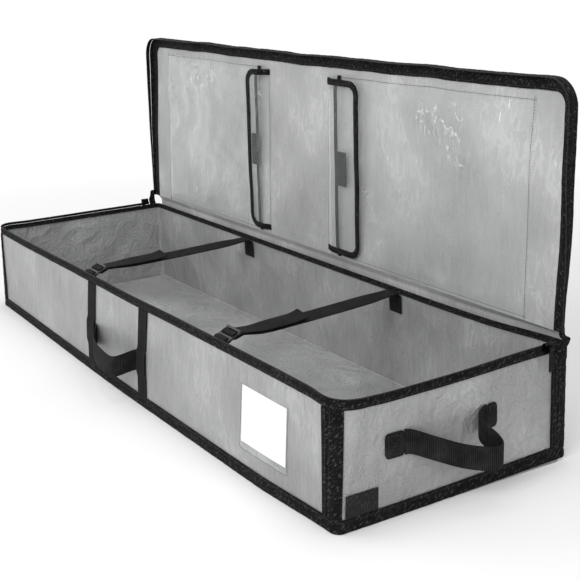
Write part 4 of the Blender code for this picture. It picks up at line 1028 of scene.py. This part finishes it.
def makeFlap(side, root, out, low):
    body = "flap_" + side
    reach = flapReach[side]
    inset = pocket["tapeThick"] + gap
    ds = np.linspace(0, reach - inset, 28)
    lowV, highV = pocket["low"] + pocket["margin"] + inset, pocket["high"] - pocket["margin"] - inset
    shares = np.linspace(0, 1, 76)
    radius = pocket["corner"] - inset
    over = np.maximum(ds - (reach - inset - radius), 0)
    cut = radius - np.sqrt(np.maximum(radius ** 2 - over ** 2, 0))          # round corners of the film
    d = np.repeat(ds[:, None], len(shares), 1)
    v = (lowV + cut)[:, None] + (highV - lowV - 2 * cut)[:, None] * shares[None, :]
    wave = creases(d * 1.2, v, 111 + int(out), 0.05, 1.0, 6) * 0.0005
    wave = wave * fade(d, 0.004, 0.02) * (1 - fade(d, reach - 0.014, reach - 0.007))
    patch = (1 - fade(np.abs(v - (lowV + highV) / 2), 0.024, 0.034)) * fade(d, 0.018, 0.028)
    lift = flapLift(d, low) + np.abs(wave) * (1 - patch)
    lowFace, highFace = (lidSoft(lidPoint(root + out * d, v, lift + thick)) for thick in (0.0, bag["film"] * 0.7))
    obj = shell("flap_film_" + side, highFace, lowFace, ds, shares * (highV - lowV), clearFilm)
    rootBend(obj)
    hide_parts(body)

    t = pocket["tapeThick"]
    over = bag["film"] + gap
    legs = [(0.0, -inset), (0.0, over + t), (pocket["tape"], over + t), (pocket["tape"], over), (t, over), (t, -gap),
            (pocket["tape"], -gap), (pocket["tape"], -inset)]
    legs = softProfile(legs, 0.0016, 1)
    tracks = np.array([flapTrack(reach, depth) for depth, _ in legs])        # section point, station, (d, v)
    tracks[..., 0] = np.maximum(tracks[..., 0], 0.0006)
    run = lengths(tracks[0])
    pucker = drift(run, 121 + int(out), 0.013, 3) * binding["lift"]
    rings = []
    for k in range(len(run)):
        dd, vv = tracks[:, k, 0], tracks[:, k, 1]
        inward = legs[:, 0] / pocket["tape"]
        rise = np.where(legs[:, 1] > over / 2, 1, 0) * pucker[k] * (0.3 + inward)
        rings.append(lidPoint(root + out * dd, vv, flapLift(dd, low) + legs[:, 1] + rise))
    obj = tube("flap_tape_" + side, lidSoft(np.array(rings)), run, wrapLengths(legs), tapeCloth)
    rootBend(obj)
    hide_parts("flap_binding_" + side)
    line = flapTrack(reach, 0.0055)
    line = line[line[:, 0] > pocket["bend"]]
    seamLift = flapLift(line[:, 0], low) + over + t + 0.0001
    seams[body].append(lidSoft(lidPoint(root + out * line[:, 0], line[:, 1], seamLift)))
    foot = np.linspace(lowV, highV, 60)
    seams["lid"].append(lidSoft(lidPoint(root + out * 0.0016, foot, flapLift(0.0016, low) + bag["film"])))


for side in pocketSpans:
    makePocket(side)
print("pockets made")

# webbing: bands, handles, straps
webbing = {"bandWidth": 0.026, "handleWidth": 0.0275, "handleZ": 0.059, "handleReach": 0.032, "handleDroop": 0.006,
           "endReach": 0.038, "endDroop": 0.030, "tack": 0.024, "strapWidth": 0.0264, "strapSag": 0.0012,
           "tackDrop": 0.0150, "tackRun": 0.024, "tail": 0.108, "roll": 0.13, "skew": 0.075, "bump": 0.006}
# the loops as shares: along the span, outward, downward
frontLoop = ((0.0, 0.0, 0.0), (0.02, 0.0, 0.0), (0.05, 0.04, 0.03), (0.09, 0.15, 0.12),
             (0.17, 0.38, 0.36), (0.30, 0.64, 0.62), (0.50, 0.87, 0.88), (0.72, 0.98, 1.0), (0.86, 1.0, 1.0),
             (0.925, 0.90, 0.95), (0.945, 0.66, 0.70), (0.952, 0.38, 0.40), (0.962, 0.12, 0.12),
             (0.98, 0.0, 0.0), (1.0, 0.0, 0.0))
endLoop = ((0.0, 0.0, 0.0), (0.03, 0.02, 0.0), (0.10, 0.10, 0.07), (0.30, 0.38, 0.40),
           (0.52, 0.66, 0.74), (0.72, 0.88, 0.94), (0.845, 1.0, 1.0), (0.925, 0.95, 0.93),
           (0.92, 0.78, 0.72), (0.87, 0.56, 0.46), (0.835, 0.34, 0.24), (0.86, 0.15, 0.10),
           (0.93, 0.04, 0.03), (0.98, 0.0, 0.0), (1.0, 0.0, 0.0))


def crossBox(body, centre, across, up, wide, high):      # a sewn box with a cross in it
    centre, across, up = (np.array(a, float) for a in (centre, across, up))
    a, b = wide / 2, high / 2
    for walk in ([(-a, -b), (a, -b), (a, b), (-a, b), (-a, -b)], [(-a, -b), (a, b)], [(-a, b), (a, -b)]):
        line = evenPath(np.array([centre + across * s + up * t for s, t in walk]), 0.003)
        seams[body].append(traySoft(line))


def makeBands():
    w, t = bag["web"], webbing["bandWidth"]
    rest = -halfW - gap - w / 2
    proud = rest - w - gap
    low, high = bag["floorBand"] + gap, rimTop - bag["rimLeg"] - gap
    middle, bump = webbing["handleZ"], webbing["bump"]
    tackLow, tackHigh = middle - webbing["handleWidth"] / 2, middle + webbing["handleWidth"] / 2
    for side, x in bandSpots.items():
        path = [(x, rest, low), (x, rest, tackLow - bump), (x, proud, tackLow - gap),
                (x, proud, tackHigh + gap), (x, rest, tackHigh + bump), (x, rest, high)]
        path = evenPath(np.array(path, float), 0.0035)
        obj = webStrip("band_" + side, path, (1, 0, 0), t, w, strapCloth, traySoft)
        dress(obj, "tray", "front_band_" + side)
        for dx in (-0.0108, 0.0108):
            line = path.copy()
            line[:, 0] += dx
            line[:, 1] -= w / 2 + 0.00005
            seams["tray"].append(traySoft(line))
        toward = 1 if side == "left" else -1
        inner = x + toward * t / 2
        end = evenPath(np.array([(inner - toward * webbing["tack"], rest, middle), (inner, rest, middle)]), 0.004)
        obj = webStrip("handle_front_root_" + side, end, (0, 0, 1), webbing["handleWidth"], w, webCloth, traySoft)
        dress(obj, "tray", "handle_front_end_" + side)


def loopPath(start, end, outward, reach, droop, shares):
    start, end, outward = (np.array(a, float) for a in (start, end, outward))
    rows = smoothPath(shares, 8)
    rows[:, 1:] = np.maximum(rows[:, 1:], 0)
    points = [start + (end - start) * a + outward * reach * o - np.array([0, 0, droop * d]) for a, o, d in rows]
    return evenPath(np.array(points), 0.0022)


def makeFrontHandle():
    face = -halfW - gap - bag["web"] / 2
    half = webbing["bandWidth"] / 2
    start = (bandSpots["left"] + half + gap, face, webbing["handleZ"])
    end = (bandSpots["right"] - half - gap, face, webbing["handleZ"])
    path = loopPath(start, end, (0, -1, 0), webbing["handleReach"], webbing["handleDroop"], frontLoop)
    obj = webStrip("handle_front_loop", path, (0, 0, 1), webbing["handleWidth"], bag["web"], webCloth, traySoft)
    dress(obj, "handle_front", "handle_front")


def makeEndHandle(side, out):
    w, z = bag["web"], endTackZ
    face = out * (halfL + gap + w / 2)
    nearY, farY = endTacks
    for place, y, tack in (("near", nearY, webbing["tack"]), ("far", farY + 0.005, webbing["tack"] - 0.010)):
        path = evenPath(np.array([(face, y - tack / 2, z), (face, y + tack / 2, z)]), 0.0008)
        obj = webStrip("handle_%s_root_%s" % (side, place), path, (0, 0, 1), webbing["handleWidth"], w, webCloth,
                       traySoft, corner=0.0045)
        dress(obj, "tray", "handle_%s_end_%s" % (side, place))
        crossBox("tray", (face + out * (w / 2 + 0.0001), y, z), (0, 1, 0), (0, 0, 1), tack - 0.007, 0.020)
    start = (face, nearY + webbing["tack"] / 2 + gap, z)
    end = (face, farY - webbing["tack"] / 2 + 0.010 - gap, z)
    path = loopPath(start, end, (out, 0, 0), webbing["endReach"], webbing["endDroop"], endLoop)
    obj = webStrip("handle_%s_loop" % side, path, (0, 0, 1), webbing["handleWidth"], w, webCloth, traySoft)
    dress(obj, "handle_" + side, "handle_" + side)


lock = {"width": 0.034, "slotWidth": 0.0272, "thick": 0.0026, "frontBar": 0.0030, "anchorSlot": 0.0032,
        "bar": 0.0026, "slot": 0.0036, "gripBar": 0.0030, "rearBar": 0.0026, "tilt": math.radians(24),
        "pivotIn": 0.0060, "pivotDrop": 0.0042, "along": -0.0095, "lip": 0.0016, "waist": 0.0012, "round": 0.0016}


def lockPivot(x):                             # the locks sit up on the rim, a little along it from their solids
    return np.array([x + lock["along"], -halfW + lock["pivotIn"], boxH - lock["pivotDrop"]])


def lockPlace(x, b, c, a=0.0):                # b back from the front bar, c up from the lock's plane
    cos, sin = math.cos(lock["tilt"]), math.sin(lock["tilt"])
    return lockPivot(x) + np.array([a, b * cos - c * sin, b * sin + c * cos])


def lockSlots():
    anchor = lock["frontBar"] / 2
    inner = anchor + lock["anchorSlot"] + lock["bar"]
    outer = inner + lock["slot"] + lock["gripBar"]
    return [(anchor, anchor + lock["anchorSlot"]), (inner, inner + lock["slot"]), (outer, outer + lock["slot"])]


def makeLock(side, x):                        # a frame with three slots, its rear lip turned up and its sides waisted
    outer, inner = np.array([0.5, 0.46]) * lock["width"], lock["slotWidth"] / 2
    acrossStops = [-outer[0], -outer[1], -inner, inner, outer[1], outer[0]]
    slots = lockSlots()
    stops = [-lock["frontBar"] / 2]
    for low, high in slots:
        stops += [low, high]
    stops.append(slots[-1][1] + lock["rearBar"])
    spans = [(i, j) for i in range(5) for j in range(7) if i != 2 or j % 2 == 0]      # the rest are the slots
    lines = bmesh.new()
    corners = {}
    half = lock["thick"] / 2
    length = stops[-1] - stops[0]

    def corner(i, j, k):
        if (i, j, k) not in corners:
            a, b = acrossStops[i], stops[j]
            share = (b - stops[0]) / length
            waist = lock["waist"] * math.sin(math.pi * share) if i in (0, 5) else 0.0
            rounded = lock["round"] if i in (0, 5) and j in (0, 7) else 0.0
            lip = lock["lip"] * max(0.0, share - 0.8) / 0.2
            swell = 1.25 if j in (0, 1, 6, 7) else 0.95
            b = b + rounded if j == 0 else b - rounded
            place = lockPlace(x, b, half * swell * k + lip, a - math.copysign(waist + rounded, a))
            corners[(i, j, k)] = lines.verts.new(tuple(traySoft(place)))
        return corners[(i, j, k)]

    for i, j in spans:
        for k, turn in ((1, 1), (-1, -1)):
            ring = [corner(i, j, k), corner(i + 1, j, k), corner(i + 1, j + 1, k), corner(i, j + 1, k)]
            lines.faces.new(ring[::turn])
        for (di, dj), p, q in (((-1, 0), (0, 1), (0, 0)), ((1, 0), (1, 0), (1, 1)),
                               ((0, -1), (0, 0), (1, 0)), ((0, 1), (1, 1), (0, 1))):
            if (i + di, j + dj) not in spans:
                one, two = (i + p[0], j + p[1]), (i + q[0], j + q[1])
                lines.faces.new([corner(*one, -1), corner(*two, -1), corner(*two, 1), corner(*one, 1)])
    bmesh.ops.recalc_face_normals(lines, faces=lines.faces)
    sharp = [e for e in lines.edges if len(e.link_faces) == 2 and e.calc_face_angle() > 0.6]
    bmesh.ops.bevel(lines, geom=sharp, offset=0.0006, segments=2, profile=0.6, affect="EDGES")
    mesh = bpy.data.meshes.new("lock_frame_" + side)
    lines.to_mesh(mesh)
    lines.free()
    mesh.shade_smooth()
    mesh.materials.append(blackPlastic)
    dress(addObject("lock_frame_" + side, mesh), "ladder_lock_" + side, "ladder_lock_" + side)


def makeStrap(side, x):
    w = bag["web"]
    _, (inner, innerEnd), (outer, outerEnd) = lockSlots()
    clear, lean = lock["thick"] / 2 + gap + w / 2, w / 2
    innerMid, outerMid = (inner + innerEnd) / 2, (outer + outerEnd) / 2
    rear = outerEnd + lock["rearBar"]
    under = -clear - w - 0.0004                                       # the loaded strap, with the free end above it
    threaded = [(rear + w, under), (outerMid, under), (innerMid + lean, under + 0.0003), (innerMid - lean / 2, -clear),
                (innerMid - lean / 2, 0.0), (innerMid, clear), (outerMid - lean, clear), (outerMid + lean / 2, 0.0),
                (outerMid + lean, -clear * 0.8), (outerEnd + w / 2, -clear), (rear + w, -clear)]
    inLock = [lockPlace(x, b, c) for b, c in threaded]
    face = halfW - bag["panel"] - gap - w / 2
    backX, drop = x - webbing["skew"], webbing["tackDrop"]
    kneeZ = boxH - drop
    footZ = kneeZ - webbing["tackRun"]
    foot, knee = np.array([backX, face, footZ]), np.array([backX, face, kneeZ])
    start = np.array([backX, face - drop / 3, boxH - drop * 0.72])
    path = [foot, knee, start]
    for k in range(1, 24):
        share = k / 24
        point = start + (inLock[0] - start) * share
        point[2] -= 4 * webbing["strapSag"] * share * (1 - share)
        path.append(point)
    back = unit(start - inLock[0])
    tail = []
    for k in range(1, 13):
        share = k / 12
        place = inLock[-1] + back * webbing["tail"] * share
        rest = (inLock[0] + back * np.dot(place - inLock[0], back))[2] + w + gap + 0.0004
        laid = fade(share, 0.0, 0.25)
        place[2] = place[2] * (1 - laid) + rest * laid + 0.0030 * fade(share, 0.86, 1.0)
        tail.append(place)
    path = evenPath(np.array(path + inLock + tail), 0.0011)
    path[1:-1] = path[1:-1] * 0.5 + (path[:-2] + path[2:]) * 0.25
    across = np.tile([1.0, 0.0, 0.0], (len(path), 1))                # the free run rolls a little about its length
    reach = (path[:, 1] - inLock[0][1]) / (start[1] - inLock[0][1])
    across[:, 2] = -webbing["roll"] * fade(reach, 0.03, 0.2) * (1 - fade(reach, 0.8, 0.97))
    obj = webStrip("strap_web_" + side, path, across, webbing["strapWidth"], w, strapCloth, traySoft)
    dress(obj, "tray", "strap_" + side)
    sewn = (backX, face - w / 2 - 0.0001, boxH - drop - webbing["tackRun"] / 2)
    crossBox("tray", sewn, (1, 0, 0), (0, 0, 1), 0.019, 0.017)

    pivot = lockPivot(x)
    turn = math.hypot(lock["frontBar"], lock["thick"]) / 2 + gap + w / 2
    near = -halfW + bag["panel"] + gap + w / 2
    far = near + w + gap
    x = x + lock["along"]
    neck = rimTop - bag["rimLeg"] - gap - w / 2
    points = [(near, footZ), (near, kneeZ), (pivot[1] - turn, neck)]
    for k in range(17):
        angle = math.radians(180 - 225 * k / 16)
        points.append((pivot[1] + turn * math.cos(angle), pivot[2] + turn * math.sin(angle)))
    points += [(pivot[1] - turn + w * 3 / 2, neck), (far, kneeZ), (far, footZ)]
    path = evenPath(np.array([(x, y, z) for y, z in points], float), 0.0012)
    obj = webStrip("anchor_web_" + side, path, (1, 0, 0), webbing["strapWidth"], w * 0.95, strapCloth, traySoft)
    dress(obj, "tray", "strap_anchor_" + side)


makeBands()
makeFrontHandle()
sides = {"left": -1, "right": 1}
for side, out in sides.items():
    makeEndHandle(side, out)
for side, x in zip(sides, lockSpots):
    makeStrap(side, x)
    makeLock(side, x)
print("webbing made")

# label, tag and zipper stops
label = {"wide": 0.093, "high": 0.0625, "x": 0.3775, "z": 0.0718, "card": 0.0004,
         "filmX": 0.3780, "filmZ": 0.0679, "filmWide": 0.100, "filmHigh": 0.0730, "margin": 0.0045, "hem": 0.002}
tag = {"wide": 0.036, "high": 0.024, "thick": 0.0008}
stop = {"wide": 0.014, "high": 0.016, "inset": 0.0030}


def frontPoint(x, z, lift):
    return np.stack(np.broadcast_arrays(x, -halfW - np.asarray(lift, float), z), -1)


def makeLabel():
    w, h = label["wide"], label["high"]
    xs, zs = np.linspace(-w / 2, w / 2, 34), np.linspace(-h / 2, h / 2, 28)
    x, z = netOf(xs, zs)
    back, front = (traySoft(frontPoint(label["x"] + x, label["z"] + z, lift)) for lift in (gap, gap + label["card"]))
    obj = shell("label_blank", front, back, xs, zs, cardPaper)
    dress(obj, "tray", "label_card")

    raised = gap + label["card"] + gap
    halfWide, halfHigh = label["filmWide"] / 2, label["filmHigh"] / 2
    xs = np.linspace(-halfWide, halfWide, 60)
    zs = np.linspace(-halfHigh, halfHigh, 52)
    x, z = netOf(xs, zs)
    side = fade(halfWide - np.abs(x), label["hem"], label["margin"] - gap)
    foot = fade(z + halfHigh, label["hem"], label["margin"] - gap)
    share = np.minimum(side, foot)
    lift = gap + (raised - gap) * share
    lift = lift + np.abs(creases(x, z, 131, 0.03, 1.3, 6)) * 0.00045 * share * fade(halfHigh - z, 0.0, 0.02)
    gape = fade(z, halfHigh - 0.02, halfHigh) * share * 0.0010        # the open mouth gapes a little
    lift = lift + gape * (0.6 + 0.4 * drift(x, 133, 0.09))
    back, front = (traySoft(frontPoint(label["filmX"] + x, label["filmZ"] + z, lift + extra))
                   for extra in (0.0, bag["film"] * 0.6))
    obj = shell("label_film", front, back, xs, zs, clearFilm)
    dress(obj, "tray", "label_window")
    a, b = halfWide - 0.001, halfHigh - 0.001
    walk = evenPath(np.array([(-a, b), (-a, -b), (a, -b), (a, b)], float), 0.003)
    line = frontPoint(label["filmX"] + walk[:, 0], label["filmZ"] + walk[:, 1], gap + bag["film"])
    seams["tray"].append(traySoft(line))


def makeTag():
    w, h = tag["wide"], tag["high"]
    ys, zs = np.linspace(-w / 2, w / 2, 26), np.linspace(-h / 2, h / 2, 18)
    y, z = netOf(ys, zs)
    wave = 0.0004 * drift(y, 141, 0.03, 2) * fade(z, -h / 2, h / 2)
    foot = bag["floorBand"] + gap
    back, front = (traySoft(np.stack([halfL + gap + np.abs(wave) + extra, y + tagY, z + foot + h / 2], -1))
                   for extra in (0.0, tag["thick"]))
    obj = shell("tag_cloth", front, back, ys, zs, tagCloth)
    dress(obj, "tray", "side_tag")


def makeStops():
    w, h = stop["wide"], stop["high"]
    for side, out in sides.items():
        low = outFace + gap
        ys, zs = np.linspace(0, w, 14), np.linspace(0, h, 16)
        y, z = netOf(ys, zs)
        edge = np.minimum(np.minimum(y, w - y), np.minimum(z, h - z))
        puff = bag["tape"] * (0.6 + 1.6 * fade(edge, 0, 0.004))
        back, front = (traySoft(np.stack([out * (halfL + low + lift + 0 * y), halfW - stop["inset"] - w + y,
                                          rimTop - h + z], -1)) for lift in (0.0, puff))
        obj = shell("zip_end_" + side, front, back, ys, zs, tapeCloth)
        dress(obj, "tray", "zipper_stop_" + side)


# the ends of the tapes, folded together beside the hinge
fold = {"width": 0.011, "out": 0.0058, "below": 0.009, "above": 0.013}


def foldSoft(p):                              # soft like the tray below and like the lid above
    upper = fade(p[..., 2:3], boxH, boxH + 0.012)
    return traySoft(p) * (1 - upper) + lidSoft(p) * upper


def makeFolds():
    y, reach = hingeY - 0.0015, halfL + outFace + gap
    out, below, above = fold["out"], fold["below"], fold["above"]
    rows = [(0.0004, -below), (0.0030, -below * 0.6), (out * 0.75, -0.003), (out, 0.002),
            (out * 0.55, above * 0.55), (0.0012, above), (0.0004, above + 0.006)]
    for side, sign in sides.items():
        path = evenPath(smoothPath([(sign * (reach + a), y, boxH + b) for a, b in rows], 6), 0.0012)
        obj = webStrip("tape_fold_" + side, path, (0, 1, 0), fold["width"], 2.4 * bag["tape"], tapeCloth, foldSoft,
                       corner=0.003)
        hingeBend(obj)


makeLabel()
makeTag()
makeStops()
makeFolds()
print("label, tag and stops made")

# finishes of the nodes that stay
for name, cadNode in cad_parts.items():
    if cadNode.hide_render:
        continue
    cadNode.data.materials.clear()
    cadNode.data.materials.append(darkMetal)

# stitches and teeth by Geometry Nodes
stitch = {"pitch": 0.0034, "length": 0.0026, "radius": 0.00030}


# small rounded beads laid along every line of a mesh of edges
def repeatTree(name):
    tree = bpy.data.node_groups.new(name, "GeometryNodeTree")
    face = tree.interface
    face.new_socket(name="Geometry", in_out="INPUT", socket_type="NodeSocketGeometry")
    ids = {}
    for title in ("Pitch", "Length", "Radius", "Finish"):
        kind = "NodeSocketMaterial" if title == "Finish" else "NodeSocketFloat"
        ids[title] = face.new_socket(name=title, in_out="INPUT", socket_type=kind).identifier
    face.new_socket(name="Geometry", in_out="OUTPUT", socket_type="NodeSocketGeometry")
    ins, outs = tree.nodes.new("NodeGroupInput"), tree.nodes.new("NodeGroupOutput")
    curve = node(tree, "GeometryNodeMeshToCurve", Mesh=ins.outputs["Geometry"]).outputs["Curve"]
    even = node(tree, "GeometryNodeResampleCurve", {"mode": "LENGTH"}, Curve=curve, Length=ins.outputs["Pitch"])
    tangent = node(tree, "GeometryNodeInputTangent").outputs["Tangent"]
    align = node(tree, "FunctionNodeAlignRotationToVector", {"axis": "X"}, Vector=tangent).outputs["Rotation"]
    bead = node(tree, "GeometryNodeMeshUVSphere", Segments=6, Rings=4, Radius=1.0).outputs["Mesh"]
    turned = node(tree, "GeometryNodeTransform", Geometry=bead, Rotation=(0.0, math.pi / 2, 0.0)).outputs["Geometry"]
    radius = ins.outputs["Radius"]
    scale = node(tree, "ShaderNodeCombineXYZ", X=times(tree, ins.outputs["Length"], 0.5), Y=radius, Z=radius).outputs[0]
    place = node(tree, "GeometryNodeInstanceOnPoints", Points=even.outputs["Curve"], Instance=turned, Rotation=align,
                 Scale=scale).outputs["Instances"]
    real = node(tree, "GeometryNodeRealizeInstances", Geometry=place).outputs["Geometry"]
    smooth = node(tree, "GeometryNodeSetShadeSmooth", Geometry=real).outputs["Geometry"]
    finish = node(tree, "GeometryNodeSetMaterial", Geometry=smooth, Material=ins.outputs["Finish"])
    tree.links.new(finish.outputs["Geometry"], outs.inputs["Geometry"])
    return tree, ids


beadTree, beadIds = repeatTree("beadsAlongLines")


def beads(name, lines, body, finish, pitch, length, radius):
    verts, edges = [], []
    for line in lines:
        first = len(verts)
        verts += [tuple(p) for p in line]
        edges += [(first + i, first + i + 1) for i in range(len(line) - 1)]
    mesh = bpy.data.meshes.new(name)
    mesh.from_pydata(verts, edges, [])
    guide = addObject(name + "_guide", mesh)
    modifier = guide.modifiers.new("beads", "NODES")
    modifier.node_group = beadTree
    for title, value in (("Pitch", pitch), ("Length", length), ("Radius", radius), ("Finish", finish)):
        modifier[beadIds[title]] = value
    bpy.context.view_layer.update()
    made = bpy.data.meshes.new_from_object(guide.evaluated_get(bpy.context.evaluated_depsgraph_get()))
    bpy.data.objects.remove(guide)
    obj = addObject(name, made)
    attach(obj, body)


for body, lines in seams.items():
    beads("stitches_" + body, lines, body, threadCloth, stitch["pitch"], stitch["length"], stitch["radius"])
toothSizes = [zipper[key] for key in ("toothPitch", "toothLength", "toothRadius")]
for body, line in zipLines.items():
    beads("zip_teeth_" + body, [line], body, coilNylon, *toothSizes)
print("stitches and teeth made")

# camera, light and floor
camera = {"place": (1.4218, -0.7404, 0.5626), "yaw": 59.104, "pitch": 15.844, "roll": -2.265,
          "pixels": 1194.7, "frame": 580, "sensor": 36}


def makeCamera():
    data = bpy.data.cameras.new("camera")
    data.sensor_width = camera["sensor"]
    data.lens = camera["pixels"] / camera["frame"] * camera["sensor"]
    obj = addObject("camera", data)
    yaw, pitch, roll = (math.radians(camera[k]) for k in ("yaw", "pitch", "roll"))
    ahead = Vector((-math.sin(yaw) * math.cos(pitch), math.cos(yaw) * math.cos(pitch), -math.sin(pitch)))
    level = Vector((math.cos(yaw), math.sin(yaw), 0))
    above = level.cross(ahead)
    right = level * math.cos(roll) + above * math.sin(roll)
    up = above * math.cos(roll) - level * math.sin(roll)
    turn = Matrix((right, up, -ahead)).transposed().to_4x4()
    obj.matrix_world = Matrix.Translation(Vector(camera["place"])) @ turn
    bpy.context.scene.camera = obj


def makeLight(name, place, size, power):
    data = bpy.data.lights.new(name, "AREA")
    data.shape, data.size, data.energy = "SQUARE", size, power
    obj = addObject(name, data)
    obj.location = place
    obj.rotation_euler = (Vector((0, 0, 0.1)) - Vector(place)).to_track_quat("-Z", "Y").to_euler()


def seenRays(tree):                           # camera rays and glossy ones
    path = node(tree, "ShaderNodeLightPath")
    return path, sums(tree, "MAXIMUM", path.outputs["Is Camera Ray"], path.outputs["Is Glossy Ray"])


def makeStage():
    mesh = bpy.data.meshes.new("floor")
    mesh.from_pydata([(-9, -9, 0), (9, -9, 0), (9, 9, 0), (-9, 9, 0)], [], [(0, 1, 2, 3)])
    floor = addObject("studio_floor", mesh)
    material, tree, shader = startMaterial("studioFloor", {"Roughness": 0.9, "Base Color": (0.9, 0.9, 0.9, 1)})
    where = node(tree, "ShaderNodeTexCoord").outputs["Object"]
    distance = node(tree, "ShaderNodeVectorMath", {"operation": "LENGTH"}, i0=where).outputs["Value"]
    far = spread(tree, distance, 0.8, 1.6)
    path, seen = seenRays(tree)
    white = node(tree, "ShaderNodeEmission", Color=(1, 1, 1, 1), Strength=1.0)
    mixed = node(tree, "ShaderNodeMixShader", i0=times(tree, far, seen), i1=shader.outputs[0], i2=white.outputs[0])
    tree.links.new(mixed.outputs[0], tree.nodes["Material Output"].inputs["Surface"])
    mesh.materials.append(material)

    world = bpy.data.worlds.new("studio")
    bpy.context.scene.world = world
    world.use_nodes = True
    tree = world.node_tree
    back = tree.nodes["Background"]
    back.inputs["Color"].default_value = (1, 1, 1, 1)
    path, seen = seenRays(tree)
    seen = sums(tree, "MAXIMUM", seen, path.outputs["Is Transmission Ray"])
    tree.links.new(spread(tree, seen, 0.0, 1.0, 0.57, 1.0), back.inputs["Strength"])


makeCamera()
makeLight("key", (1.6, -2.2, 2.0), 1.6, 42)
makeLight("fill", (-1.8, -1.8, 1.6), 1.6, 17)
makeLight("top", (0.2, 0.2, 2.6), 1.8, 21)
makeStage()
bpy.context.scene.view_settings.view_transform = "Standard"
print("camera and light made")
